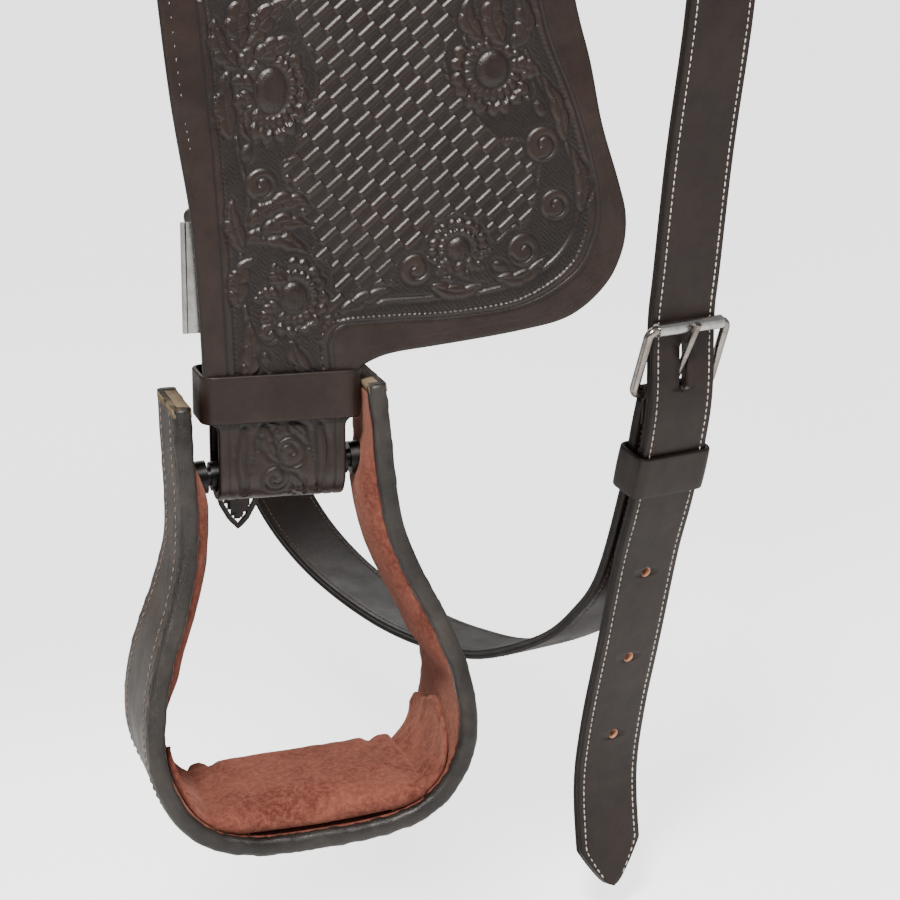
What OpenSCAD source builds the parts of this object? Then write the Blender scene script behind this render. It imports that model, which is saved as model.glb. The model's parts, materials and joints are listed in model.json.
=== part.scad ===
// Western saddle with fenders, bell stirrups and a flank cinch, in millimetres.
// +X runs to the cantle, -Y is the near (left) side, +Z is up.
// The origin is the top of the round back form that the saddle sits on, over the stirrup leathers.

/* [Seat on the back] */
// Radius of the round back that the fleece lies on
back_r = 250; // [235:1:265]
// Thickness of the fleece lining
fleece_t = 14; // [8:1:18]
// Thickness of the skirt leather
skirt_t = 5; // [3:0.5:6]
// Angle down the side where the skirt ends
skirt_low = 79; // [70:1:82]
// Angle down the side where the skirt starts, beside the spine
skirt_high = 10; // [6:1:14]

/* [Skirt] */
// Front end of the skirt
skirt_front = -285; // [-300:1:-275]
// Rear end of the skirt
skirt_rear = 400; // [370:1:420]
// Corner radius of the skirt
skirt_corner = 95; // [60:1:110]

/* [Tree] */
// Thickness of a tree bar
bar_t = 18; // [14:1:22]
// Front end of the bars
bar_front = -262; // [-268:1:-250]
// Rear end of the bars
bar_rear = 330; // [290:1:345]
// Thickness of the fork from front to rear
fork_t = 72; // [60:1:80]
// Half width of the swell over its lobes
swell_half = 147; // [135:1:160]
// Height of the fork's top over the back
fork_top = 150; // [140:1:165]
// Thickness of the leather on the fork
swell_leather_t = 3; // [2:0.5:4]
// Radius of the top of the cantle
cantle_r = 165; // [150:1:175]
// Height of the cantle's top over the back
cantle_top = 148; // [135:1:160]
// Thickness of the cantle board
cantle_t = 20; // [14:1:24]
// Lean of the cantle to the rear
cantle_lean = 20; // [12:1:26]

/* [Horn] */
// Radius of the horn's steel neck
horn_neck_r = 14; // [11:0.5:17]
// Length of the neck between the fork and the cap
horn_neck_h = 62; // [50:1:70]
// Thickness of the leather wound on the neck
horn_wrap_t = 7; // [4:0.5:9]
// Radius of the horn cap
horn_cap_r = 44; // [36:1:48]
// Lean of the horn to the front
horn_lean = 12; // [6:1:18]

/* [Leather] */
// Thickness of the fender, jockey and seat leather
leather_t = 4.5; // [3.5:0.1:5]
// Width of a stirrup leather
leather_w = 61; // [56:0.5:66]
// Width of the fender's leg
leg_w = 72; // [68:0.5:74]
// Turn of the fender's face to the front
fender_turn = 20; // [14:1:23]
// Height of the fender leg's lower end
leg_low = -500; // [-520:1:-490]
// Height of the hobble strap
hobble_h = 23; // [18:1:26]

/* [Stirrup] */
// Depth of the stirrup at the tread
tread_depth = 84; // [74:1:92]
// Depth of the stirrup at its top
top_depth = 50; // [42:1:56]
// Thickness of the wooden stirrup bow
bow_t = 4; // [3:0.5:5]
// Thickness of the stirrup's outer leather
bow_cover_t = 2.6; // [2:0.1:3.5]
// Thickness of the suede lining
lining_t = 1.8; // [1.2:0.1:2.5]
// Lean of the hanging stirrup in its own plane
stirrup_lean = 4; // [0:0.5:4.5]
// Radius of the stirrup bolt
bolt_r = 4.5; // [4:0.1:5]
// Outer radius of the roller on the bolt
roller_r = 7; // [6.5:0.1:7.5]

/* [Flank cinch] */
// Where the flank cinch hangs, behind the stirrup leathers
flank_x = 285; // [275:1:295]
// Width of the billet and the flank strap
flank_w = 44; // [38:1:48]
// Thickness of the billet and the flank strap
flank_t = 5.6; // [4.5:0.1:6]
// Radius of a billet hole
hole_r = 3.2; // [2.5:0.1:3.5]
// Radius of the wire in the dees and buckles
wire_r = 2.6; // [2.2:0.1:3]

/* [Hidden] */
$fn = 64;
// running clearance between a shaft and its bore
run_fit = 0.05;
// gap between pieces that lie on each other without a fit
lay_gap = 0.4;

axis_z = -back_r;
skirt_in = back_r + fleece_t;
skirt_out = skirt_in + skirt_t;
bar_out = skirt_out + bar_t;
bar_high = 20;
bar_low = 52;
loop_t = 4;
loop_in = bar_out + lay_gap;
loop_out = loop_in + loop_t;
fender_in = loop_out + lay_gap;
fender_mid = fender_in + leather_t / 2;
jockey_in = fender_in + leather_t + 0.5;
jockey_out = jockey_in + leather_t;
fork_rear = -150;
fork_front = fork_rear - fork_t;
fork_x = (fork_front + fork_rear) / 2;
drop = skirt_out - 269;

// heights on the side, all measured down from the top of the back
jockey_low = 58;
bolt_z = leg_low - 51;
stirrup_h = 180;
wrap_in_r = roller_r + 2.6;
wrap_out_r = wrap_in_r + leather_t;

// ---------- shared shapes ----------

function mix(a, b, t) = a + (b - a) * t;
function clamp01(t) = max(0, min(1, t));
function smooth(t) = let (c = clamp01(t)) c * c * (3 - 2 * c);
function unit(v) = v / norm(v);
// point on the side of the round back: radius r, angle a from the top, off side positive
function on_back(r, a) = [r * sin(a), axis_z + r * cos(a)];
// one point of a Catmull-Rom curve
function curve_at(p, k, t) = let (
        n = len(p) - 1,
        a = p[max(0, k - 1)], b = p[k], c = p[min(n, k + 1)], d = p[min(n, k + 2)]
    ) 0.5 * ((2 * b) + (c - a) * t + (2 * a - 5 * b + 4 * c - d) * t * t
        + (3 * b - a - 3 * c + d) * t * t * t);
// smooth curve through the points, with n steps between each pair
function curve(p, n) = concat(
    [for (k = [0:len(p) - 2], i = [0:n - 1]) curve_at(p, k, i / n)], [p[len(p) - 1]]);
// value at x in a table of [x, value] rows, x rising, with smooth steps
function table(rows, x, i = 0) =
    x <= rows[0][0] ? rows[0][1] :
    i >= len(rows) - 1 ? rows[len(rows) - 1][1] :
    x <= rows[i + 1][0]
        ? curve_at([for (r = rows) r[1]], i, (x - rows[i][0]) / (rows[i + 1][0] - rows[i][0]))
        : table(rows, x, i + 1);
// left normals along a flat path
function normals(p) = [for (i = [0:len(p) - 1]) let (
        d = unit(p[min(len(p) - 1, i + 1)] - p[max(0, i - 1)])) [-d[1], d[0]]];
// closed outline of a band that runs along a flat path, from offset a to offset b
function band(p, a, b) = let (m = normals(p), n = len(p) - 1) concat(
    [for (i = [0:n]) p[i] + m[i] * a], [for (i = [n:-1:0]) p[i] + m[i] * b]);

module side_view(w) { rotate([90, 0, 0]) linear_extrude(w, center = true) children(); }
module end_view(w) { rotate([90, 0, 90]) linear_extrude(w, center = true) children(); }
module off_side(is_off) { mirror([0, is_off ? 0 : 1, 0]) children(); }

// part of a tube round the back form, on the off side, from angle a0 to a1 and from x0 to x1
module arc_shell(r0, r1, a0, a1, x0, x1) {
    translate([0, 0, axis_z]) rotate([0, 90, 0]) rotate([0, 0, 180 - a1])
        rotate_extrude(angle = a1 - a0, $fn = 96) translate([r0, x0]) square([r1 - r0, x1 - x0]);
}

// rectangle from low to high corner with round corners
module round_box(low, high, r) {
    translate([low[0] + r, low[1]]) square([high[0] - low[0] - 2 * r, high[1] - low[1]]);
    translate([low[0], low[1] + r]) square([high[0] - low[0], high[1] - low[1] - 2 * r]);
    for (x = [low[0] + r, high[0] - r], y = [low[1] + r, high[1] - r]) translate([x, y]) circle(r);
}

// two circles and the straight sides between them
module capsule(c1, r1, c2, r2) {
    d = c2 - c1;
    base = atan2(d[1], d[0]);
    open = acos((r1 - r2) / norm(d));
    translate(c1) circle(r1);
    translate(c2) circle(r2);
    polygon([for (q = [[c1, r1, base + open], [c2, r2, base + open],
        [c2, r2, base - open], [c1, r1, base - open]]) q[0] + q[1] * [cos(q[2]), sin(q[2])]]);
}

// closed solid between two grids of points; the outer grid's faces look away from the inner grid
module sheet(outer, inner, flip = false) {
    n = len(outer);
    m = len(outer[0]);
    pts = concat([for (r = outer) each r], [for (r = inner) each r]);
    o = n * m;
    quads = concat(
        [for (i = [0:n - 2], j = [0:m - 2]) [i * m + j, i * m + j + 1, (i + 1) * m + j + 1, (i + 1) * m + j]],
        [for (i = [0:n - 2], j = [0:m - 2])
            [o + i * m + j, o + (i + 1) * m + j, o + (i + 1) * m + j + 1, o + i * m + j + 1]],
        [for (i = [0:n - 2]) [i * m, (i + 1) * m, o + (i + 1) * m, o + i * m]],
        [for (i = [0:n - 2])
            [i * m + m - 1, o + i * m + m - 1, o + (i + 1) * m + m - 1, (i + 1) * m + m - 1]],
        [for (j = [0:m - 2]) [j, o + j, o + j + 1, j + 1]],
        [for (j = [0:m - 2])
            [(n - 1) * m + j, (n - 1) * m + j + 1, o + (n - 1) * m + j + 1, o + (n - 1) * m + j]]);
    tris = [for (q = quads) each [[q[0], q[1], q[2]], [q[0], q[2], q[3]]]];
    polyhedron(pts, flip ? [for (t = tris) [t[0], t[2], t[1]]] : tris);
}

// ---------- skirts, fleece and tree ----------

// one layer of the skirt, with round lower corners
module skirt_layer(is_off, r0, r1) {
    low = axis_z + r0 * cos(skirt_low) - 0.7;
    off_side(is_off) intersection() {
        arc_shell(r0, r1, skirt_high, skirt_low, skirt_front - 5, skirt_rear + 5);
        side_view(800) round_box([skirt_front, low], [skirt_rear, low + 600], skirt_corner);
    }
}

module skirt(is_off) {
    color("#2e221f") skirt_layer(is_off, skirt_in, skirt_out);
}

module fleece(is_off) {
    color("#d9cdb4") skirt_layer(is_off, back_r, skirt_in);
}

module bar_board(is_off) {
    end_r = 28;
    slot_w = leather_w + 4;
    color("#c8a878") off_side(is_off) difference() {
        intersection() {
            arc_shell(skirt_out, bar_out, bar_high, bar_low, bar_front, bar_rear);
            side_view(700) round_box([bar_front, -120], [bar_rear, 60], end_r);
        }
        // recess that the stirrup leather runs through, under the bar
        arc_shell(skirt_out - 1, skirt_out + loop_t + 2 * lay_gap, bar_high - 2, bar_low + 2,
            -slot_w / 2, slot_w / 2);
    }
}

// right half of the fork's outline seen from the front, from its top down to the bar
swell = curve([[0, fork_top], [30, fork_top - 0.5], [60, fork_top - 6], [92, fork_top - 21],
    [swell_half - 23, 112], [swell_half - 5, 93], [swell_half, 71], [swell_half - 4, 48],
    [swell_half - 14, 24], [swell_half - 19, 0], [swell_half - 10, -36], [swell_half + 8, -70]], 4);
// right half of the hand hole under it, from the bar up to the middle
gullet = curve([[66, -90], [66, -40], [66, 10], [61, 42], [46, 66], [25, 79], [0, 84]], 4);
function left(p) = [for (i = [len(p) - 1:-1:0]) [-p[i][0], p[i][1]]];

module tree_bars() {
    for (off = [false, true]) bar_board(off);
}

module fork() {
    color("#c8a878") difference() {
        translate([fork_x, 0, 0]) end_view(fork_t)
            polygon(concat(left(swell), swell, gullet, left(gullet)));
        translate([fork_x, 0, axis_z]) rotate([0, 90, 0]) cylinder(r = bar_out, h = 200, center = true, $fn = 96);
        horn_cut();
    }
}

// the leather over the top and the ends of the fork, open for the horn's plate
module swell_cover() {
    path = [for (q = concat(left(swell), swell)) if (q[1] > 6 && (abs(q[0]) > 0.1 || q[1] < 0)) q];
    color("#2a1d1a") difference() {
        translate([fork_x, 0, 0]) end_view(fork_t) polygon(band(path, 0.2, swell_leather_t));
        translate([fork_x, 0, axis_z]) rotate([0, 90, 0])
            cylinder(r = bar_out + 0.1, h = 200, center = true, $fn = 96);
        horn_cut();
    }
}

module horn_frame() {
    translate([fork_x - 8, 0, fork_top - 4]) rotate([0, -horn_lean, 0]) children();
}

// seat for the horn's plate in the fork
module horn_cut() {
    horn_frame() cylinder(r = 32, h = 60);
}

module horn_core() {
    color("#8d8d90") horn_frame() {
        cylinder(r = 31.5, h = 5);
        cylinder(r = horn_neck_r, h = horn_neck_h + 6);
        translate([0, 0, horn_neck_h]) cylinder(r = horn_cap_r - 5, h = 6);
    }
}

module horn_wrap() {
    color("#3a2a24") horn_frame() translate([0, 0, 5 + lay_gap]) rotate_extrude() polygon(concat(
        [[horn_neck_r + run_fit, 0], [30, 0]],
        curve([[30, 0], [horn_neck_r + horn_wrap_t, 20], [horn_neck_r + horn_wrap_t, 40],
            [29, horn_neck_h - 7]], 5),
        [[horn_neck_r + run_fit, horn_neck_h - 7]]));
}

module horn_cap() {
    head_r = horn_cap_r - 5 + run_fit;
    color("#2a1d1a") horn_frame() translate([0, 0, horn_neck_h]) rotate_extrude() polygon(concat(
        [[horn_neck_r + run_fit, -1.5], [horn_neck_r + run_fit, -run_fit], [head_r, -run_fit],
            [head_r, 6 + run_fit], [0, 6 + run_fit], [0, 13]],
        curve([[0, 13], [horn_cap_r * 0.6, 12], [horn_cap_r - 3, 8], [horn_cap_r, 3],
            [horn_cap_r - 2, -1.5]], 5)));
}

// ---------- seat and cantle ----------

// rows are [x, height] down the middle of the seat's top
seat_line = [[-150, 108], [-120, 97], [-60, 74], [0, 58], [50, 53], [100, 60], [150, 82], [190, 112], [226, 150]];
// rows are [x, angle] to which the seat and its jockeys come down
seat_edge = [[-150, 16], [-125, 30], [-90, 47], [-40, 56], [10, 58], [70, 57], [120, 50], [165, 40], [226, 33]];
// rows are [x, fall across the middle]
seat_fall = [[-150, 9], [-60, 5.5], [50, 3], [150, 3.6], [190, 3], [226, 2.7]];

function seat_z(x, y, r, sink) = let (
        a = axis_z + sqrt(max(1, r * r - y * y)),
        rise = cantle_top - 148,
        b = table(seat_line, x) + rise * smooth((x - 60) / 160) - sink - table(seat_fall, x) * y * y / 1000,
        soft = 12
    ) (a + b + sqrt((a - b) * (a - b) + soft * soft)) / 2;
function seat_grid(r, sink, x0, x1, low, nx, ny) = [for (i = [0:nx]) let (
        x = mix(x0, x1, i / nx), e = min(low, table(seat_edge, x)))
        [for (j = [0:ny]) let (y = r * sin(mix(-e, e, j / ny))) [x, y, seat_z(x, y, r, sink)]]];

seat_end = 226;
board_r = cantle_r - 6;
wing_end = 214;
// angle down to which the binding covers the cantle's edge on each side
binding_half = 78;

// what the seat leaves free for the cantle, its binding and the rear jockeys
module behind_seat() {
    cantle_frame() {
        translate([-lay_gap, -board_r - 1, -300]) cube([200, 2 * board_r + 2, 400]);
        translate([-5, 0, -cantle_r]) rotate([0, 90, 0]) rotate([0, 0, 178 - binding_half])
            rotate_extrude(angle = 2 * binding_half + 4, $fn = 96) translate([board_r, 0]) square([24, 60]);
    }
    for (s = [-1, 1]) translate([wing_end, s * (board_r + 200.9) - 200, -200]) cube([100, 400, 400]);
}

module seat() {
    color("#2e221f") difference() {
        sheet(seat_grid(jockey_out, 0, fork_rear + 1, seat_end, 90, 26, 28),
            seat_grid(jockey_in, leather_t, fork_rear + 1, seat_end, 90, 26, 28));
        behind_seat();
    }
}

module ground_seat() {
    t = 2;
    gap = 1.6;
    top = jockey_in - gap;
    color("#8d8d90") difference() {
        sheet(seat_grid(top, leather_t + gap, fork_rear + 1, 200, 22, 22, 14),
            seat_grid(top - t, leather_t + gap + t, fork_rear + 1, 200, 22, 22, 14));
        translate([-1, 0, 0]) behind_seat();
    }
}

module cantle_frame() {
    translate([230, 0, cantle_top]) rotate([0, cantle_lean, 0]) children();
}

module cantle_outline(r) {
    intersection() {
        translate([0, -cantle_r]) circle(r, $fn = 96);
        translate([-200, -cantle_r]) square([400, 300]);
    }
}

module cantle_board() {
    color("#c8a878") difference() {
        cantle_frame() translate([cantle_t / 2, 0, 0]) end_view(cantle_t) cantle_outline(board_r);
        translate([200, 0, axis_z]) rotate([0, 90, 0]) cylinder(r = bar_out, h = 400, center = true, $fn = 96);
    }
}

module cantle_back() {
    color("#2e221f") difference() {
        cantle_frame() translate([cantle_t + lay_gap + leather_t / 2, 0, 0]) end_view(leather_t)
            cantle_outline(board_r);
        translate([200, 0, axis_z]) rotate([0, 90, 0])
            cylinder(r = jockey_rear_out + lay_gap, h = 400, center = true, $fn = 96);
    }
}

module cantle_binding() {
    roll_r = 8;
    mid = (cantle_t + leather_t) / 2;
    color("#241a18") cantle_frame() translate([mid, 0, -cantle_r]) rotate([0, 90, 0])
        rotate([0, 0, 180 - binding_half]) rotate_extrude(angle = 2 * binding_half, $fn = 96)
            translate([board_r + lay_gap, 0])
            intersection() {
                translate([0, -mid - 4]) square([16, 2 * mid + 8]);
                capsule([0, -mid + 4], roll_r, [0, mid - 4], roll_r);
            }
}

jockey_rear_in = bar_out + lay_gap;
jockey_rear_out = jockey_rear_in + leather_t;

module rear_jockey(is_off) {
    color("#2e221f") off_side(is_off) intersection() {
        arc_shell(jockey_rear_in, jockey_rear_out, 0.2, 55, 200, skirt_rear);
        side_view(800) difference() {
            round_box([150, -90], [skirt_rear - 12, 200], 60);
            translate([100, -200]) square([wing_end + 5 - 100, 500]);
        }
    }
}

module front_jockey(is_off) {
    color("#2e221f") off_side(is_off) intersection() {
        arc_shell(jockey_rear_in, jockey_rear_out, 38, 56, -268, -110);
        side_view(800) round_box([-262, -88], [-118, 60], 30);
    }
}

// ---------- rigging ----------

front_dee_x = -205;
dee_a = 73;
dee_h = 40;
dee_half = flank_w / 2 + 3;

// puts a dee's frame on the side: x along the saddle, y down the side, z outwards
module on_side(x, a, r) {
    p = on_back(r, a);
    translate([x, p[0], p[1]]) rotate([-a, 0, 0]) children();
}

// leather tabs that hold the dees to the skirt
module rigging(is_off) {
    tab_t = 3.4;
    eye_r = wire_r + run_fit;
    color("#2a1d1a") off_side(is_off) for (x = [front_dee_x, flank_x]) {
        arc_shell(skirt_out + 0.02, skirt_out + tab_t, 58, dee_a - 0.8, x - 22, x + 22);
        on_side(x, dee_a, skirt_out + eye_r + tab_t) rotate([0, 90, 0]) difference() {
            cylinder(r = eye_r + tab_t - 0.1, h = 32, center = true);
            cylinder(r = eye_r, h = 40, center = true);
        }
        for (s = [-1, 1]) on_side(x + s * 14, 63, skirt_out + tab_t) cylinder(r = 4, h = 1.6);
    }
}

// closed wire loop: top bar on the x axis, lower bar h along y, w either side
module wire_loop(w, h, bend) {
    for (y = [0, h]) translate([0, y, 0]) rotate([0, 90, 0])
        cylinder(r = wire_r, h = 2 * (w - bend), center = true);
    for (s = [-1, 1]) {
        translate([s * w, bend, 0]) rotate([-90, 0, 0]) cylinder(r = wire_r, h = h - 2 * bend);
        translate([s * (w - bend), bend, 0]) rotate([0, 0, s > 0 ? -90 : 180])
            rotate_extrude(angle = 90) translate([bend, 0]) circle(wire_r);
        translate([s * (w - bend), h - bend, 0]) rotate([0, 0, s > 0 ? 0 : 90])
            rotate_extrude(angle = 90) translate([bend, 0]) circle(wire_r);
    }
}

module dee(is_off, x) {
    color("#c8c8cc") off_side(is_off)
        on_side(x, dee_a, skirt_out + wire_r + run_fit + 3.4) wire_loop(dee_half, dee_h, 7);
}

module rear_dees() {
    for (off = [false, true]) dee(off, flank_x);
}

module conchos() {
    color("#c8c8cc") for (off = [false, true]) off_side(off) {
        for (c = [[-222, 50, jockey_rear_out], [300, 42, jockey_rear_out], [360, 30, jockey_rear_out]])
            on_side(c[0], c[1], c[2] + 0.05) rotate_extrude() polygon(
                [[0, 0], [15, 0], [15, 1.2], [13, 2.4], [9, 2.4], [6, 4.4], [0, 5.2]]);
        on_side(112, 42, jockey_out + 1.5) cylinder(r = 15, h = 2.4);
    }
}

// ---------- stirrup leather and fender ----------

module leather_loop(is_off) {
    w = leather_w / 2;
    inner = skirt_out + lay_gap;
    color("#33241f") off_side(is_off) {
        arc_shell(inner, inner + loop_t, bar_high - 1.2, bar_low + 3, -w, w);
        arc_shell(loop_in, loop_out, bar_high - 1.2, jockey_low + 2, -w, w);
        arc_shell(inner, loop_out, bar_high - 1.9, bar_high - 0.3, -w, w);
    }
}

// the fender's middle line at height z on the off side, and its turn there
function fender_y(z) = z > axis_z ? sqrt(fender_mid * fender_mid - pow(z - axis_z, 2)) : fender_mid;
function fender_twist(z) = fender_turn * smooth((-120 - z) / 210);
function fender_point(u, z) = let (t = fender_twist(z)) [u * cos(t), fender_y(z) + u * sin(t), z];
function fender_out(u, z) = unit(cross(
    fender_point(u, z - 0.5) - fender_point(u, z + 0.5), fender_point(u + 0.5, z) - fender_point(u - 0.5, z)));

// rows are [drop below the axis of the leg's end, front edge, rear edge]
fender_rows = [[-505, -37, 37], [-501, -37, 38], [-497, -37.5, 45], [-495, -38, 55], [-493, -38, 77], [-488, -38, 116],
    [-482, -38.2, 141], [-468, -38.5, 158], [-452, -39, 167], [-435, -39.6, 169], [-418, -41, 165],
    [-389, -45.5, 156], [-360, -49.5, 149], [-330, -53, 142], [-280, -58, 132], [-220, -61, 120], [-150, -61, 106],
    [-90, -58, 94]];
function fender_front(z) = table([for (r = fender_rows) [r[0] + leg_low + 500, r[1]]], z);
function fender_rear(z) = table([for (r = fender_rows) [r[0] + leg_low + 500, r[2]]], z);
function fender_grid(zs, side, nu) = [for (z = zs) [for (j = [0:nu]) let (
        u = mix(fender_front(z), fender_rear(z), j / nu))
        fender_point(u, z) + fender_out(u, z) * side * leather_t / 2]];

// height where the fender's top part ends and its swinging panel begins
fender_hinge_z = axis_z + fender_mid * cos(jockey_low + 1.5);
swing_x = 14;
swing_r = 96;

// round cut between the fender's top part and its panel, centred on the swing axis
module swing_disc(r) {
    translate([swing_x, 0, fender_hinge_z]) rotate([-90, 0, 0]) cylinder(r = r, h = 400, $fn = 96);
}

module fender_top(is_off) {
    zs = [for (i = [0:9]) mix(fender_hinge_z, fender_hinge_z - swing_r - 4, i / 9)];
    color("#33241f") off_side(is_off) intersection() {
        sheet(fender_grid(zs, 1, 8), fender_grid(zs, -1, 8), true);
        swing_disc(swing_r);
    }
}

module fender(is_off) {
    zs = concat([for (i = [0:7]) mix(fender_hinge_z - 42, -235, i / 7)],
        [for (i = [1:12]) mix(-235, leg_low + 22, i / 12)],
        [for (z = [16, 12, 9, 7, 5, 3, 0.8]) leg_low + z]);
    color("#33241f") off_side(is_off) difference() {
        sheet(fender_grid(zs, 1, 8), fender_grid(zs, -1, 8), true);
        swing_disc(swing_r + 0.4);
    }
}

// frame of the leg: x across the leather, y outwards, z up, on the leg's axis
module leg_frame() {
    translate([0, fender_mid, 0]) rotate([0, 0, fender_turn]) children();
}

strap_gap = wrap_in_r + wrap_out_r;

// the strap behind the fender, from the panel's top to the hobble
module stirrup_leather(is_off) {
    back_t = 4;
    y1 = -leather_t / 2 - 1;
    path = [[y1 - back_t / 2 - 2.5, axis_z - 12], [y1 - back_t / 2, axis_z - 85], [-8.5, -424], [-12.5, -460],
        [-strap_gap + leather_t / 2, leg_low + 0.8]];
    color("#33241f") off_side(is_off) leg_frame() end_view(leather_w)
        polygon(band(path, -back_t / 2, back_t / 2));
}

// plate between the fender and the strap, that joins the two ends of the stirrup leather
module leather_buckle(is_off) {
    plate = [88, 2, 52];
    color("#c8c8cc") off_side(is_off) leg_frame() translate([0, -4, leg_low + 44]) {
        difference() {
            cube(plate, center = true);
            for (z = [-16, 16]) translate([0, 0, z]) cube([56, 6, 8], center = true);
        }
        for (s = [-1, 1]) translate([s * plate[0] / 2, 0, 0]) cylinder(r = 1.5, h = plate[2], center = true);
    }
}

// the end of the leg: it goes down, round the roller and up again behind
module leg(is_off) {
    path = concat(
        [[0, leg_low], [0, leg_low - 25]],
        [for (a = [0:15:180]) [-wrap_mid_r + wrap_mid_r * cos(a), bolt_z - wrap_mid_r * sin(a)]],
        [[-2 * wrap_mid_r, leg_low - 25], [-2 * wrap_mid_r, leg_low]]);
    color("#33241f") off_side(is_off) leg_frame() {
        end_view(leather_w) polygon(band(path, -leather_t / 2, leather_t / 2));
        // the leg is wider where the hobble strap holds it
        for (s = [-1, 1]) translate([s * (leather_w + leg_w) / 4, 0, leg_low - 12])
            cube([(leg_w - leather_w) / 2, leather_t, 24], center = true);
    }
}

wrap_mid_r = (wrap_in_r + wrap_out_r) / 2;

// strap round the leg with its tongue end hanging behind
module hobble_strap(is_off) {
    t = 2.2;
    room = 0.4;
    half = [leg_w / 2 + room, leather_t / 2 + room];
    back = -2 * wrap_mid_r - leather_t / 2 - room;
    tail_w = 20;
    color("#33241f") off_side(is_off) leg_frame() {
        translate([0, 0, leg_low - 2 - hobble_h]) linear_extrude(hobble_h) difference() {
            round_box([-half[0] - t, back - t], [half[0] + t, half[1] + t], 7);
            round_box([-half[0], back], [half[0], half[1]], 1);
        }
        // tail with a pointed end
        translate([-16, back - t - 0.1, 0]) rotate([90, 0, 0]) linear_extrude(2.4) polygon([
            [-tail_w / 2, leg_low - 6], [tail_w / 2, leg_low - 6], [tail_w / 2, leg_low - 72],
            [0, leg_low - 86], [-tail_w / 2, leg_low - 72]]);
    }
}

// ---------- stirrup ----------

// right half of the bow's outer edge, from the middle of the tread up to the ear
// a thicker shell stands wider at the neck and the ears, so that the leg still fits between them
shell_t = bow_cover_t + bow_t + lining_t;
wide = shell_t - 8.4;
bow_points = [[0, -stirrup_h], [30, 1 - stirrup_h], [54, 8 - stirrup_h], [69.5, -158], [78, -139], [80, -121],
    [77.5, -100], [71 + wide, -78], [61.5 + wide, -55], [54.5 + wide, -32], [52 + wide, -8], [51.5 + wide, 14],
    [50.5 + wide, 40]];
bow_half = curve(bow_points, 4);
bow_path = concat([for (i = [len(bow_half) - 1:-1:1]) [-bow_half[i][0], bow_half[i][1]]], bow_half);

module stirrup_frame(is_off) {
    off_side(is_off) leg_frame() translate([0, -wrap_mid_r, bolt_z])
        rotate([0, -stirrup_lean, 0]) children();
}

// what the bow may fill, seen from its side: deeper at the tread than at the top
module bow_side(inset) {
    top = top_depth / 2 - inset;
    low = tread_depth / 2 - inset;
    end_view(260) polygon([[-top, 60], [-top, -30], [-low, -135], [-low, -190], [low, -190], [low, -135],
        [top, -30], [top, 60]]);
}

module bow_band(a, b, inset) {
    intersection() {
        rotate([90, 0, 0]) linear_extrude(tread_depth + 10, center = true) polygon(band(bow_path, a, b));
        bow_side(inset);
    }
}

bow_layers = [0, bow_cover_t, bow_cover_t + bow_t, shell_t];
neck_pad_t = 7;
roller_half = leather_w / 2 + 2.5;
nut_r = 8;

module stirrup_cover(is_off) {
    color("#2a1d1a") stirrup_frame(is_off) bow_band(bow_layers[0], bow_layers[1], 0);
}

module stirrup_bow(is_off) {
    color("#c8a878") stirrup_frame(is_off) difference() {
        bow_band(bow_layers[1], bow_layers[2], 3);
        rotate([0, 90, 0]) cylinder(r = bolt_r + run_fit, h = 200, center = true);
    }
}

module stirrup_lining(is_off) {
    color("#8c4334") stirrup_frame(is_off) difference() {
        union() {
            bow_band(bow_layers[2], bow_layers[3], 0);
            // padded neck inside each side
            intersection() {
                bow_band(bow_layers[2], bow_layers[3] + neck_pad_t, 10);
                translate([0, 0, -43]) cube([200, 100, 120], center = true);
            }
        }
        rotate([0, 90, 0]) cylinder(r = bolt_r + run_fit, h = 200, center = true);
        // room for the nuts in the padding
        rotate([0, 90, 0]) cylinder(r = nut_r + 1.5, h = 2 * (bow_points[11][0] - shell_t - 0.6), center = true);
    }
}

module tread_pad(is_off) {
    floor_z = bow_points[0][1] + bow_layers[3] + 0.1;
    color("#8c4334") stirrup_frame(is_off) difference() {
        rotate([90, 0, 0]) linear_extrude(tread_depth - 8, center = true)
            polygon([[-42, floor_z + 4.9], [42, floor_z + 4.9], [52, floor_z + 12], [48, floor_z + 17],
                [-48, floor_z + 17], [-52, floor_z + 12]]);
    }
}

// the bolt ends under the outer leather, and a nut stands inside each ear
module stirrup_bolt(is_off) {
    color("#161414") stirrup_frame(is_off) rotate([0, 90, 0]) {
        cylinder(r = bolt_r, h = 2 * (bow_points[11][0] - bow_cover_t - 0.6), center = true);
        for (s = [-1, 1]) translate([0, 0, s * (roller_half + 4.8)]) cylinder(r = nut_r, h = 6, center = true);
    }
}

module roller(is_off) {
    color("#161414") stirrup_frame(is_off) rotate([0, 90, 0]) difference() {
        cylinder(r = roller_r, h = 2 * roller_half, center = true);
        cylinder(r = bolt_r + run_fit, h = 80, center = true);
    }
}

// ---------- flank cinch ----------

// middle of the dee's lower bar on the off side
dee_mid = on_back(skirt_out + wire_r + run_fit + 3.4, dee_a);
dee_low = dee_mid + dee_h * [cos(dee_a), -sin(dee_a)];
// the eye is loose on the dee, so that the cinch can swing to the front and the rear
eye_in = wire_r + 3.6;
roller_out = wire_r + 1.2;
tongue_r = 1.9;
tongue_ring = wire_r + 2;

// the buckle's roller bar and hinge bar on the off side, as [y, z]
bar_top = [251, -520];
bar_hinge = [237, -557];
buckle_len = norm(bar_top - bar_hinge);
buckle_dir = (bar_top - bar_hinge) / buckle_len;
buckle_out = [-buckle_dir[1], buckle_dir[0]] * -1;
behind_roller = bar_top - buckle_out * (roller_out + flank_t / 2 + 0.5);
over_hinge = bar_hinge + buckle_out * (tongue_ring + flank_t / 2 + 0.5);
tongue_tip = bar_top + buckle_out * (roller_out + tongue_r + 0.1);

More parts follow.
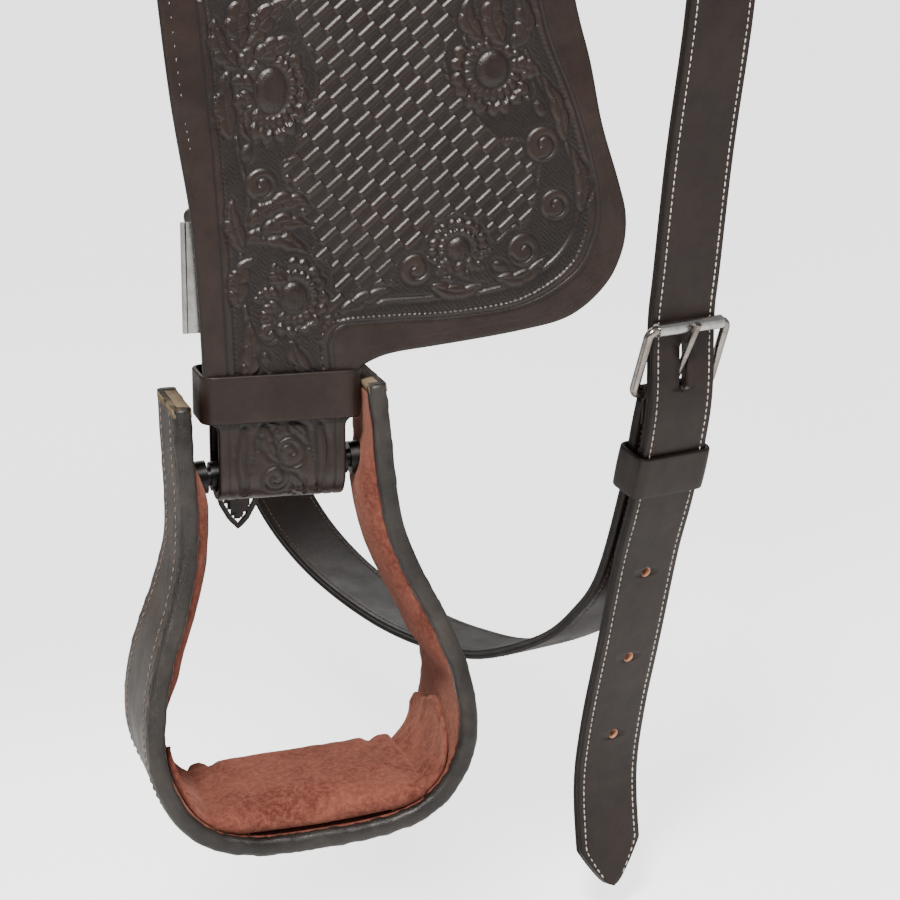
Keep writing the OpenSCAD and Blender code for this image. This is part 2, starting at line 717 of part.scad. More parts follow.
// off-side run of the billet from under the dee to its end
billet_path = curve([[dee_low[0], dee_low[1] - eye_in - flank_t / 2 + 0.6], [dee_low[0] - 2, -290], [271, -344],
    [257, -424], [248, -490], behind_roller, over_hinge, [239, -590], [229, -625], [218, -657], [204, -710],
    [190, -762], [184, -806], [191, -866]], 5);
// places of the free holes along the path
billet_holes = [46, 51, 56];

// the strap under the belly, from the off buckle's hinge bar to the near one
strap_path = curve([bar_hinge + [-0.6, -3], [231, -580], [224, -612], [206, -662], [186, -696], [158, -720],
    [120, -738], [75, -750], [20, -757], [-33, -756], [-86, -748], [-147, -722], [-180, -697], [-203, -668],
    [-224, -610], [-231, -580], [0.6 - bar_hinge[0], bar_hinge[1] - 3]], 4);

// a hole across the strap, or a slot when it is long, at one place of its path
module strap_slot(p, i, w, h) {
    d = p[i + 1] - p[i - 1];
    translate([0, p[i][0], p[i][1]]) rotate([atan2(d[1], d[0]) + 90, 0, 0]) {
        rotate([90, 0, 0]) cylinder(r = w / 2, h = 20, center = true);
        if (h > 0) cube([w, 20, h], center = true);
    }
}

// the near billet has a long end with free holes, and the off billet ends below its keeper
module billet(is_off) {
    path = [for (i = [0:is_off ? 43 : len(billet_path) - 1]) billet_path[i]];
    tip = path[len(path) - 1];
    color("#33241f") off_side(is_off) translate([flank_x, 0, 0]) difference() {
        union() {
            difference() {
                end_view(flank_w) polygon(band(path, -flank_t / 2, flank_t / 2));
                translate([0, dee_low[0], dee_low[1]]) rotate([0, 90, 0])
                    cylinder(r = eye_in + 1, h = flank_w + 2, center = true);
                // the end narrows between the dee's sides
                for (s = [-1, 1]) translate([s * (flank_w / 2 + 8), dee_low[0], dee_low[1] - 7])
                    cube([20, 30, 24], center = true);
            }
            translate([0, dee_low[0], dee_low[1]]) rotate([0, 90, 0]) difference() {
                cylinder(r = eye_in + flank_t / 2, h = flank_w - 4, center = true);
                cylinder(r = eye_in, h = flank_w + 2, center = true);
            }
        }
        if (!is_off) for (i = billet_holes) strap_slot(billet_path, i, 2 * hole_r, 0);
        strap_slot(billet_path, 28, 7, 28);
        // pointed end
        for (s = [-1, 1]) translate([0, tip[0], tip[1] - 2]) rotate([0, s * 50, 0])
            translate([0, 0, -30]) cube([120, 80, 60], center = true);
    }
}

module flank_strap() {
    color("#33241f") translate([flank_x, 0, 0]) {
        difference() {
            union() {
                end_view(flank_w) polygon(band(strap_path, -flank_t / 2, flank_t / 2));
                for (s = [-1, 1]) translate([0, s * bar_hinge[0], bar_hinge[1]]) rotate([0, 90, 0])
                    cylinder(r = wire_r + 2, h = flank_w, center = true);
            }
            for (s = [-1, 1]) translate([0, s * bar_hinge[0], bar_hinge[1]]) {
                rotate([0, 90, 0]) cylinder(r = wire_r + run_fit, h = flank_w + 2, center = true);
                rotate([0, 90, 0]) cylinder(r = tongue_ring + 1.5, h = 7, center = true);
            }
        }
        for (s = [-1, 1]) keeper(s);
    }
}

// loop on the strap that holds the billet's end
module keeper(s) {
    at = 37;
    c = billet_path[at];
    d = billet_path[at - 1] - billet_path[at + 1];
    a = atan2(d[0], d[1]);
    t = 3;
    half = flank_w / 2 + 1;
    out = flank_t / 2 + 0.8;
    translate([0, s * c[0], c[1]]) rotate([-s * a, 0, 0]) mirror([0, s > 0 ? 0 : 1, 0])
        linear_extrude(25, center = true) difference() {
            round_box([-half - t, -18], [half + t, out + t], 6);
            round_box([-half, -15], [half, out], 4);
        }
}

module flank_buckle(is_off) {
    color("#b9b2a6") off_side(is_off) translate([flank_x, bar_top[0], bar_top[1]])
        rotate([atan2(buckle_dir[1], buckle_dir[0]) + 180, 0, 0])
            wire_loop(flank_w / 2 + 5, buckle_len, 4.4);
}

module flank_tongue(is_off) {
    d = tongue_tip - bar_hinge;
    color("#b9b2a6") off_side(is_off)
        translate([flank_x, bar_hinge[0], bar_hinge[1]]) rotate([atan2(d[1], d[0]), 0, 0]) difference() {
            union() {
                rotate([0, 90, 0]) cylinder(r = tongue_ring, h = 5, center = true);
                rotate([-90, 0, 0]) cylinder(r = tongue_r, h = norm(d) + 5);
            }
            rotate([0, 90, 0]) cylinder(r = wire_r + run_fit, h = 8, center = true);
        }
}

module flank_roller(is_off) {
    color("#c8c8cc") off_side(is_off)
        translate([flank_x, bar_top[0], bar_top[1]]) rotate([0, 90, 0]) difference() {
            cylinder(r = roller_out, h = flank_w + 0.8, center = true);
            cylinder(r = wire_r + run_fit, h = flank_w + 4, center = true);
        }
}

// ---------- nodes ----------

tree_bars();
fork();
cantle_board();
ground_seat();
horn_core();
horn_wrap();
horn_cap();
swell_cover();
seat();
cantle_back();
cantle_binding();
skirt(false);  // near_skirt
skirt(true);  // off_skirt
fleece(false);  // near_fleece
fleece(true);  // off_fleece
front_jockey(false);  // near_front_jockey
front_jockey(true);  // off_front_jockey
rear_jockey(false);  // near_rear_jockey
rear_jockey(true);  // off_rear_jockey
rigging(false);  // near_rigging
rigging(true);  // off_rigging
rear_dees();
dee(false, front_dee_x);  // near_front_dee
dee(true, front_dee_x);  // off_front_dee
conchos();
leather_loop(false);  // near_leather_loop
leather_loop(true);  // off_leather_loop
fender_top(false);  // near_fender_top
fender(false);  // near_fender
stirrup_leather(false);  // near_stirrup_leather
leather_buckle(false);  // near_leather_buckle
leg(false);  // near_leg
hobble_strap(false);  // near_hobble_strap
stirrup_bow(false);  // near_stirrup_bow
stirrup_cover(false);  // near_stirrup_cover
stirrup_lining(false);  // near_stirrup_lining
tread_pad(false);  // near_tread_pad
stirrup_bolt(false);  // near_stirrup_bolt
roller(false);  // near_roller
fender_top(true);  // off_fender_top
fender(true);  // off_fender
stirrup_leather(true);  // off_stirrup_leather
leather_buckle(true);  // off_leather_buckle
leg(true);  // off_leg
hobble_strap(true);  // off_hobble_strap
stirrup_bow(true);  // off_stirrup_bow
stirrup_cover(true);  // off_stirrup_cover
stirrup_lining(true);  // off_stirrup_lining
tread_pad(true);  // off_tread_pad
stirrup_bolt(true);  // off_stirrup_bolt
roller(true);  // off_roller
billet(false);  // near_billet
billet(true);  // off_billet
flank_strap();
flank_buckle(false);  // near_flank_buckle
flank_buckle(true);  // off_flank_buckle
flank_tongue(false);  // near_flank_tongue
flank_tongue(true);  // off_flank_tongue
flank_roller(false);  // near_flank_roller
flank_roller(true);  // off_flank_roller
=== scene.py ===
# %% [markdown]
# # A western saddle, close up
# The CAD frame says where each piece is and how it moves. This lesson gives the pieces their looks:
# tooled and stitched leather, suede, fleece and nickel. Lengths are millimetres until a mesh is made.

import math

import bmesh
import bpy
import json
import numpy as np
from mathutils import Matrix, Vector, noise

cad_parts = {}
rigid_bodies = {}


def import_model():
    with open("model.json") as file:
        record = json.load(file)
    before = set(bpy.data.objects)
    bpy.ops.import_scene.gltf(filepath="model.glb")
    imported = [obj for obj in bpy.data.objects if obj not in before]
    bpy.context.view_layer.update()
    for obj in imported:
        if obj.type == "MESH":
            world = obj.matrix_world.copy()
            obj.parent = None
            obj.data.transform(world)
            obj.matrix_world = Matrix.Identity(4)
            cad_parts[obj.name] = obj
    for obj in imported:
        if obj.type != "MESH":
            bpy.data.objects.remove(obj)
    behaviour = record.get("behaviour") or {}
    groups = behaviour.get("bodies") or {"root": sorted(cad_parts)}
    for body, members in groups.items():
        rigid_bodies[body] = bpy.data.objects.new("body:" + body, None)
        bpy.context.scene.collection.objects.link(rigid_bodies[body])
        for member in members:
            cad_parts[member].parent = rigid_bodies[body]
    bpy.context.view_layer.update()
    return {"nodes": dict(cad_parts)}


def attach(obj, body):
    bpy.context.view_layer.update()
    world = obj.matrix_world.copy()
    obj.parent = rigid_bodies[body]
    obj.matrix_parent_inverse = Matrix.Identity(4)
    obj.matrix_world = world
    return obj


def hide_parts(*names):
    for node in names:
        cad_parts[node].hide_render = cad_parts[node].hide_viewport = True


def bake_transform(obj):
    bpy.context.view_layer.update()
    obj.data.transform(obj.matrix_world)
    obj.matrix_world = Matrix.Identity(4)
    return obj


MM = 0.001
for o in list(bpy.data.objects):
    bpy.data.objects.remove(o)
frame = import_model()
rng = np.random.default_rng(7)
SIDES = (("near", -1), ("off", 1))

# %% [markdown]
# ## The sizes that the looks share with the CAD model
# They are the driving dimensions of the saddle's source, in the same millimetres.

# %%
back_r = 250
fleece_t = 14
skirt_t = 5
leather_t = 4.5
fender_turn = math.radians(20)
leg_low = -500
bolt_z = leg_low - 51
leather_w = 61
leg_w = 72
wrap_mid = 11.85
flank_x = 285
flank_w = 44
flank_t = 5.6
wire_r = 2.6
stirrup_lean = math.radians(4)
tread_depth = 84
top_depth = 50
axis_z = -back_r
skirt_in = back_r + fleece_t
skirt_out = skirt_in + skirt_t
bar_out = skirt_out + 18
loop_in = bar_out + 0.4
fender_in = loop_in + 4 + 0.4
fender_mid = fender_in + leather_t / 2
jockey_in = fender_in + leather_t + 0.5
jockey_out = jockey_in + leather_t

# %% [markdown]
# ## Curves and distances
# Outlines and stamped lines are smooth curves through a few given points.

# %%
def catmull(points, n=8, closed=False):
    """Smooth curve through the points, with n steps between each pair."""
    p = np.array(points, float)
    count = len(p)
    out = []
    for k in range(count if closed else count - 1):
        idx = [k - 1, k, k + 1, k + 2]
        a, b, c, d = (p[i % count] if closed else p[min(max(i, 0), count - 1)] for i in idx)
        for i in range(n):
            t = i / n
            out.append(0.5 * (2 * b + (c - a) * t + (2 * a - 5 * b + 4 * c - d) * t**2
                              + (3 * b - a - 3 * c + d) * t**3))
    if not closed:
        out.append(p[-1])
    return np.array(out)


def resample(points, step, closed=False):
    """Points every step along a polyline, ends kept."""
    p = np.array(points, float)
    if closed:
        p = np.vstack([p, p[:1]])
    seg = np.linalg.norm(np.diff(p, axis=0), axis=1)
    s = np.concatenate([[0], np.cumsum(seg)])
    n = max(2, int(round(s[-1] / step)) + 1)
    at = np.linspace(0, s[-1], n)
    out = np.stack([np.interp(at, s, p[:, i]) for i in range(p.shape[1])], axis=1)
    return out[:-1] if closed else out


def run_of(path):
    """Length along a polyline at each of its points."""
    return np.concatenate([[0], np.cumsum(np.linalg.norm(np.diff(path, axis=0), axis=1))])


def line_distance(pts, line, closed=False):
    """Distance from each point to a polyline."""
    p = np.array(line, float)
    if closed:
        p = np.vstack([p, p[:1]])
    best = np.full(len(pts), 1e9)
    for a, b in zip(p[:-1], p[1:]):
        d = b - a
        t = np.clip(((pts - a) @ d) / max(d @ d, 1e-12), 0, 1)
        q = pts - a - t[:, None] * d
        best = np.minimum(best, np.einsum("ij,ij->i", q, q))
    return np.sqrt(best)


def signed_distance(pts, outline):
    """Distance to a closed outline, below zero inside it."""
    p = np.array(outline, float)
    inside = np.zeros(len(pts), bool)
    x, y = pts[:, 0], pts[:, 1]
    for a, b in zip(p, np.roll(p, -1, axis=0)):
        if a[1] == b[1]:
            continue
        cross = (a[1] > y) != (b[1] > y)
        inside ^= cross & (x < (b[0] - a[0]) * (y - a[1]) / (b[1] - a[1]) + a[0])
    d = line_distance(pts, p, closed=True)
    return np.where(inside, -d, d)


def smooth(t):
    t = np.clip(t, 0, 1)
    return t * t * (3 - 2 * t)


def table(rows, x):
    """Smooth value at x between rows of (x, value)."""
    r = np.array(rows, float)
    c = catmull(r, 10)
    return np.interp(x, c[:, 0], c[:, 1])


# %% [markdown]
# ## Making meshes
# Every piece comes from these: a raw mesh, a strap swept along a path, and a flat leather panel laid on
# a surface.


def finish(obj, material, body=None, blend=None, replaces=()):
    """Material, shading and body for a new piece; with blend, its transform is baked into its mesh instead,
    and replaces hides the parts it stands for.
    """
    if obj.type == "MESH":
        obj.data.materials.clear()
        for m in material if isinstance(material, (list, tuple)) else [material]:
            obj.data.materials.append(m)
        for poly in obj.data.polygons:
            poly.use_smooth = True
    if blend:
        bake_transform(obj)
    else:
        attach(obj, body)
    if replaces:
        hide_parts(*replaces)
    return obj


def make(name, verts, faces, uv=None, attrs=None):
    """A mesh object from millimetre points; uv and attrs are per point."""
    me = bpy.data.meshes.new(name)
    me.from_pydata((np.asarray(verts, float) * MM).tolist(), [], [list(map(int, f)) for f in faces])
    if uv is not None:
        layer = me.uv_layers.new(name="UVMap")
        idx = np.empty(len(me.loops), int)
        me.loops.foreach_get("vertex_index", idx)
        layer.data.foreach_set("uv", (np.asarray(uv, float)[idx] * MM).ravel())
    for key, value in (attrs or {}).items():
        me.attributes.new(key, "FLOAT", "POINT").data.foreach_set("value", np.asarray(value, np.float32))
    me.update()
    obj = bpy.data.objects.new(name, me)
    bpy.context.collection.objects.link(obj)
    return obj


def quads(n, m, start=0, wrap_n=False, wrap_m=False, flip=False):
    """Faces of an n by m grid of points."""
    i = np.arange(n if wrap_n else n - 1)
    j = np.arange(m if wrap_m else m - 1)
    i, j = (a.ravel() for a in np.meshgrid(i, j, indexing="ij"))
    a = i * m + j
    b = i * m + (j + 1) % m
    c = ((i + 1) % n) * m + (j + 1) % m
    d = ((i + 1) % n) * m + j
    f = np.stack([a, b, c, d] if not flip else [a, d, c, b], axis=1)
    return f + start


def capped(n, m):
    """Faces of n rings of m points, closed by a face at each end."""
    return list(quads(n, m, wrap_m=True)) + [list(range(m))[::-1], list(range((n - 1) * m, n * m))]


def baked(obj):
    """Turns an object's modifiers into plain mesh."""
    bpy.context.view_layer.update()
    me = bpy.data.meshes.new_from_object(obj.evaluated_get(bpy.context.evaluated_depsgraph_get()))
    obj.modifiers.clear()
    obj.data = me
    return obj


def outward(obj):
    """Points a closed mesh's faces out."""
    bm = bmesh.new()
    bm.from_mesh(obj.data)
    bmesh.ops.recalc_face_normals(bm, faces=bm.faces)
    bm.to_mesh(obj.data)
    bm.free()
    return obj


def strap_profile(w, t, r=1.1, groove=None, crown=0.0, seam=False):
    """Outline of a strap's section as (across, out) points, and how much of each is cut edge."""
    half, top = w / 2, t / 2
    pts, edge = [], []
    across = [half - r, half - 2.4, half - 3.6]
    if groove:
        across += [half - groove + 0.9, half - groove, half - groove - 0.9, half - groove - 2.2]
    across += [half * 0.45, 0]
    row = sorted(set([-a for a in across] + across))
    for side in (1, -1):
        for a in row if side > 0 else row[::-1]:
            y = top + crown * (1 - (a / half) ** 2)
            if groove and abs(abs(a) - (half - groove)) < 0.01:
                y -= 0.32
            pts.append((a, side * y))
            edge.append(0)
        mid = []
        for k in range(1, 6):
            ang = math.pi / 2 * k / 6
            mid.append((half - r + r * math.sin(ang), top - r + r * math.cos(ang)))
        wall = mid + ([(half - 0.25, 0.35), (half - 0.7, 0), (half - 0.25, -0.35)] if seam else [(half, 0)])
        wall += [(a, -b) for a, b in mid[::-1]]
        for a, b in wall:
            pts.append((a, b) if side > 0 else (-a, -b))
            edge.append(1)
    return np.array(pts), np.array(edge, float)


def sweep(name, path, side, out, profile, edge, closed=False, width=None):
    """A strap: profile carried along path; side and out are the section's directions at each point."""
    path = np.array(path, float)
    n, m = len(path), len(profile)
    side = np.broadcast_to(side, path.shape)
    out = np.broadcast_to(out, path.shape)
    w = np.ones(n) if width is None else np.asarray(width)
    verts = path[:, None] + side[:, None] * (profile[None, :, :1] * w[:, None, None])
    verts = verts + out[:, None] * profile[None, :, 1:]
    s = run_of(path)
    uv = np.stack([np.repeat(s, m), (profile[None, :, 0] * w[:, None]).ravel()], axis=1)
    faces = [f for f in quads(n, m, wrap_n=closed, wrap_m=True)]
    edges = np.tile(edge, n)
    if not closed:
        faces += [list(range(m))[::-1], list(range((n - 1) * m, n * m))]
        edges[:m] = edges[-m:] = 1
    return outward(make(name, verts.reshape(-1, 3), faces, uv=uv, attrs={"edge": edges}))


def frames_2d(path):
    """Unit normals, left of the way, along a flat path."""
    p = np.array(path, float)
    d = np.gradient(p, axis=0)
    d /= np.linalg.norm(d, axis=1)[:, None]
    return np.stack([-d[:, 1], d[:, 0]], axis=1)


def face_normals(verts, faces):
    v = verts[faces]
    return np.cross(v[:, 2] - v[:, 0], v[:, 3] - v[:, 1])


def panel(outline, surf, t, step, height=None, rim=5.0, back_step=6.0, lines=None, edge_r=1.3):
    """Leather cut to an outline and laid on a surface, as arrays for parts(). surf turns (a, b) into points
    and outward normals; height gives the tooling. A ring of faces makes
    the round cut edge, and a grid fills it."""
    ring = resample(outline, max(step * 1.6, 1.2), closed=True)
    area = 0.5 * np.sum(ring[:, 0] * np.roll(ring[:, 1], -1) - np.roll(ring[:, 0], -1) * ring[:, 1])
    ring = ring if area > 0 else ring[::-1]
    d = np.roll(ring, -1, axis=0) - np.roll(ring, 1, axis=0)
    d /= np.linalg.norm(d, axis=1)[:, None]
    inward = np.stack([-d[:, 1], d[:, 0]], axis=1)
    half = t / 2
    prof = [(rim, -half, 0), (edge_r + 0.4, -half, 0)]
    prof += [(edge_r - edge_r * math.sin(a), -half + edge_r - edge_r * math.cos(a), 1)
             for a in (0.3, 0.9, 1.57)]
    prof += [(edge_r - edge_r * math.sin(a), half - edge_r + edge_r * math.cos(a), 1)
             for a in (1.57, 0.9, 0.3)]
    prof += [(edge_r + 0.5 + (rim - edge_r - 0.5) * k / 5, half, 0) for k in range(6)]
    verts, nors, uvs, edges, painted_shades, faces = [], [], [], [], [], []

    def add(ab, off, edge):
        h = height(ab) if height is not None else (np.zeros(len(ab)), np.zeros(len(ab)))
        pos, nor = surf(ab)
        up = (np.asarray(off) > 0).astype(float)
        verts.append(pos + nor * (off + h[0] * up)[:, None])
        nors.append(nor)
        uvs.append(ab)
        edges.append(np.full(len(ab), edge) if np.isscalar(edge) else edge)
        # height's second value is painted shade for the tooling's cuts and sunken ground, kept on the top
        # face only
        painted_shades.append(h[1] * up)

    def face_out(cells, sign, probe=None):
        v, w = np.vstack(verts), np.vstack(nors)
        use = cells if probe is None else probe
        dot = np.einsum("ij,ij->i", face_normals(v, use), w[use[:, 0]]).sum() * sign
        faces.append(cells if dot > 0 else cells[:, ::-1])

    n, m = len(ring), len(prof)
    for dist, off, edge in prof:
        add(ring + inward * dist, np.full(n, float(off)), float(edge))
    grid = quads(m, n, wrap_m=True)
    face_out(grid, 1, grid[-n:])
    total = n * m
    inner = resample(outline, 2.5, closed=True)
    for level, cell in ((half, step), (-half, back_step)):
        low, high = ring.min(0) - cell, ring.max(0) + cell
        xs, ys = (np.arange(low[k], high[k] + cell, cell) for k in (0, 1))
        if lines is not None and level > 0:
            ys = lines
        gx, gy = np.meshgrid(xs, ys, indexing="ij")
        pts = np.stack([gx.ravel(), gy.ravel()], axis=1)
        sd = signed_distance(pts, inner)
        inside = sd < -(rim - 0.5)
        cells = quads(len(xs), len(ys))
        cells = cells[inside[cells].all(axis=1)]
        used = np.unique(cells)
        back = np.full(len(pts), -1)
        back[used] = np.arange(len(used)) + total
        sink = np.where(sd[used] > -(rim + cell), 0.05, 0.0)
        add(pts[used], level - np.sign(level) * sink, 0.0)
        face_out(back[cells], np.sign(level))
        total += len(used)
    return {"verts": np.vstack(verts), "faces": np.vstack(faces), "uv": np.vstack(uvs),
            "edge": np.concatenate(edges), "tool": np.concatenate(painted_shades)}


def parts(names, data, key=None):
    """One object for each name: key gives each face's bin. Shading is shared, so the joins
    do not show."""
    v, f = data["verts"], data["faces"]
    fn = face_normals(v, f)
    vn = np.zeros_like(v)
    for k in range(4):
        np.add.at(vn, f[:, k], fn)
    vn /= np.maximum(np.linalg.norm(vn, axis=1), 1e-12)[:, None]
    bins = np.zeros(len(f), int) if key is None else key(data["uv"][f].mean(axis=1), v[f].mean(axis=1))
    out = []
    for k, name in enumerate(names):
        g = f[bins == k]
        used = np.unique(g)
        back = np.full(len(v), -1)
        back[used] = np.arange(len(used))
        obj = make(name, v[used], back[g], uv=data["uv"][used],
                   attrs={a: data[a][used] for a in ("edge", "tool")})
        obj.data.shade_smooth()
        obj.data.normals_split_custom_set_from_vertices(vn[used].tolist())
        out.append(obj)
    return out


print("helpers ready")

# %% [markdown]
# ## Materials
# Each one is built from noise in the piece's own space, so grain, creases and wear stay on it when it moves.

# %%
class Nodes:
    """A small helper that adds shader nodes and joins them."""

    def __init__(self, name):
        self.mat = bpy.data.materials.new(name)
        self.mat.use_nodes = True
        self.tree = self.mat.node_tree
        self.bsdf = next(n for n in self.tree.nodes if n.type == "BSDF_PRINCIPLED")
        self.coord = self.add("ShaderNodeTexCoord").outputs["Object"]

    def add(self, kind, inputs=None, **props):
        node = self.tree.nodes.new(kind)
        for key, value in props.items():
            setattr(node, key, value)
        for key, value in (inputs or {}).items():
            self.put(node.inputs[key], value)
        return node

    def put(self, socket, value):
        if isinstance(value, bpy.types.NodeSocket):
            self.tree.links.new(value, socket)
        elif isinstance(value, (list, tuple)) and len(value) == 3 and socket.type == "RGBA":
            socket.default_value = (*value, 1)
        else:
            socket.default_value = value

    def noise(self, scale, detail=3.0, rough=0.55, coord=None, warp=0.0):
        return self.add("ShaderNodeTexNoise",
                        {"Vector": coord or self.coord, "Scale": scale, "Detail": detail,
                                               "Roughness": rough, "Distortion": warp}).outputs["Fac"]

    def cells(self, scale, feature="DISTANCE_TO_EDGE", coord=None, rand=1.0):
        return self.add("ShaderNodeTexVoronoi",
                        {"Vector": coord or self.coord, "Scale": scale, "Randomness": rand},
                        feature=feature).outputs["Distance"]

    def ramp(self, value, low, high, a=0.0, b=1.0):
        return self.add("ShaderNodeMapRange", {"Value": value, "From Min": low, "From Max": high, "To Min": a,
                                               "To Max": b}).outputs["Result"]

    def math(self, op, a, b=0.0):
        return self.add("ShaderNodeMath", {0: a, 1: b}, operation=op).outputs[0]

    def mix(self, fac, a, b):
        node = self.add("ShaderNodeMix", data_type="RGBA")
        self.put(node.inputs[0], fac)
        self.put(node.inputs[6], a)
        self.put(node.inputs[7], b)
        return node.outputs[2]

    def attr(self, name):
        return self.add("ShaderNodeAttribute", attribute_name=name).outputs["Fac"]

    def bump(self, height, strength, depth, normal=None):
        node = self.add("ShaderNodeBump", {"Height": height, "Strength": strength, "Distance": depth})
        if normal is not None:
            self.put(node.inputs["Normal"], normal)
        return node.outputs["Normal"]

    def set(self, **values):
        names = {"color": "Base Color", "rough": "Roughness", "metal": "Metallic", "normal": "Normal",
                 "coat": "Coat Weight", "coat_rough": "Coat Roughness", "sheen": "Sheen Weight",
                 "sheen_rough": "Sheen Roughness", "sheen_tint": "Sheen Tint", "spec": "Specular IOR Level",
                 "sub": "Subsurface Weight"}
        for key, value in values.items():
            self.put(self.bsdf.inputs[names[key]], value)
        return self.mat


def leather(name, base, light, dark, edge, rough=0.42, grain=1.0, creases=0.5, coat=0.12, spec=0.5):
    """Dyed leather: fine pebbled grain, long soft creases, painted shade in the tooled recesses, a burnished
    cut edge.
    """
    n = Nodes(name)
    cloud = n.noise(22, 4)
    mottle = n.noise(95, 5, 0.65)
    color = n.mix(n.ramp(cloud, 0.35, 0.7), base, light)
    color = n.mix(n.ramp(mottle, 0.45, 0.75, 0, 0.6), color, dark)
    # painted shade: the tool attribute darkens the colour in the tooling's cuts, grooves and sunken ground
    color = n.mix(n.attr("tool"), color, dark)
    rub = n.ramp(n.noise(170, 4, 0.7), 0.55, 0.8, 0, 0.35)
    color = n.mix(rub, color, light)
    color = n.mix(n.math("MULTIPLY", n.attr("edge"), n.ramp(n.noise(260, 3), 0.3, 0.8, 0.55, 1.0)), color,
                  edge)
    pebble = n.ramp(n.cells(1150), 0.0, 0.35)
    fine = n.noise(2600, 3)
    crease = n.ramp(n.cells(60, coord=n.add("ShaderNodeVectorMath", {0: n.coord, 1: n.add(
        "ShaderNodeTexNoise", {"Vector": n.coord, "Scale": 30.0}).outputs["Color"]},
        operation="ADD").outputs[0]),
        0.0, 0.03)
    r = n.ramp(n.noise(55, 4), 0.3, 0.75, rough - 0.09, rough + 0.1)
    r = n.math("ADD", r, n.math("MULTIPLY", n.attr("tool"), 0.12))
    r = n.math("ADD", r, n.math("MULTIPLY", n.attr("edge"), 0.10))
    normal = n.bump(crease, 0.35 * creases, 0.0003)
    normal = n.bump(pebble, 0.30 * grain, 0.00012, normal)
    normal = n.bump(fine, 0.25 * grain, 0.00012, normal)
    normal = n.bump(n.noise(140, 4, 0.6), 0.25, 0.0006, normal)
    return n.set(color=color, rough=r, normal=normal, coat=coat * 0.6, coat_rough=0.34, spec=spec * 0.62)


def suede(name, base, light, dark):
    """Suede split leather: short nap that lies in light and dark patches."""
    n = Nodes(name)
    patch = n.noise(38, 5, 0.7, warp=1.2)
    streak = n.noise(420, 4, 0.7)
    fibre = n.noise(2400, 3, 0.7)
    color = n.mix(n.ramp(patch, 0.38, 0.66), dark, base)
    color = n.mix(n.ramp(streak, 0.42, 0.78, 0, 0.85), color, light)
    color = n.mix(n.ramp(fibre, 0.5, 0.8, 0, 0.35), color, dark)
    normal = n.bump(patch, 0.25, 0.002)
    normal = n.bump(streak, 0.5, 0.0006, normal)
    normal = n.bump(fibre, 0.7, 0.0003, normal)
    return n.set(color=color, rough=0.96, normal=normal, sheen=0.2, sheen_rough=0.45,
                 sheen_tint=(0.9, 0.45, 0.33),
                 spec=0.15)


def metal(name, base, dark, rough, scratch=0.3):
    """Plated or bare metal with smudges, fine scratches and dull patches."""
    n = Nodes(name)
    smudge = n.noise(90, 5, 0.65)
    color = n.mix(n.ramp(smudge, 0.4, 0.8), base, dark)
    fine = n.noise(1400, 2, 0.6, warp=3.0)
    r = n.math("ADD", n.ramp(smudge, 0.3, 0.8, rough - 0.06, rough + 0.16), n.ramp(fine, 0.5, 0.8, 0, 0.08))
    return n.set(color=color, rough=r, metal=1.0, normal=n.bump(fine, scratch, 0.00008))


def thread(name, base, dark):
    """Waxed cotton thread, twisted."""
    n = Nodes(name)
    twist = n.add("ShaderNodeTexWave",
                  {"Vector": n.coord, "Scale": 600.0, "Distortion": 2.0, "Detail": 2.0}).outputs[1]
    color = n.mix(n.ramp(n.noise(500, 4), 0.4, 0.75), base, dark)
    return n.set(color=color, rough=0.8, normal=n.bump(twist, 0.5, 0.0002), sheen=0.2)


def fleece_material(name):
    """Shorn wool: cream with tan patches, fibres in small locks, and painted shade, dark brown, in the
    hollows between the locks.
    """
    n = Nodes(name)
    locks = n.noise(160, 5, 0.7, warp=1.5)
    fibre = n.noise(1300, 4, 0.75, warp=2.0)
    color = n.mix(n.ramp(n.noise(14, 4), 0.35, 0.7), (0.62, 0.53, 0.38), (0.74, 0.67, 0.53))
    # painted shade: darker where the locks' bump is low, between the locks
    color = n.mix(n.ramp(locks, 0.3, 0.55, 0.7, 0), color, (0.33, 0.25, 0.16))
    normal = n.bump(locks, 0.8, 0.003)
    normal = n.bump(fibre, 0.9, 0.0009, normal)
    return n.set(color=color, rough=1.0, normal=normal, sheen=0.7, sheen_rough=0.6, spec=0.1)


def wood(name):
    """Rawhide-sized tree wood: yellow grain lines under a dull skin."""
    n = Nodes(name)
    stretched = n.add("ShaderNodeMapping", {"Vector": n.coord, "Scale": (1.0, 9.0, 9.0)}).outputs[0]
    grain = n.noise(60, 6, 0.65, coord=stretched, warp=0.6)
    color = n.mix(n.ramp(grain, 0.35, 0.65), (0.34, 0.21, 0.10), (0.56, 0.41, 0.24))
    color = n.mix(n.ramp(n.noise(30, 3), 0.5, 0.8, 0, 0.5), color, (0.20, 0.12, 0.06))
    return n.set(color=color, rough=n.ramp(grain, 0.3, 0.7, 0.5, 0.75), normal=n.bump(grain, 0.3, 0.0008))
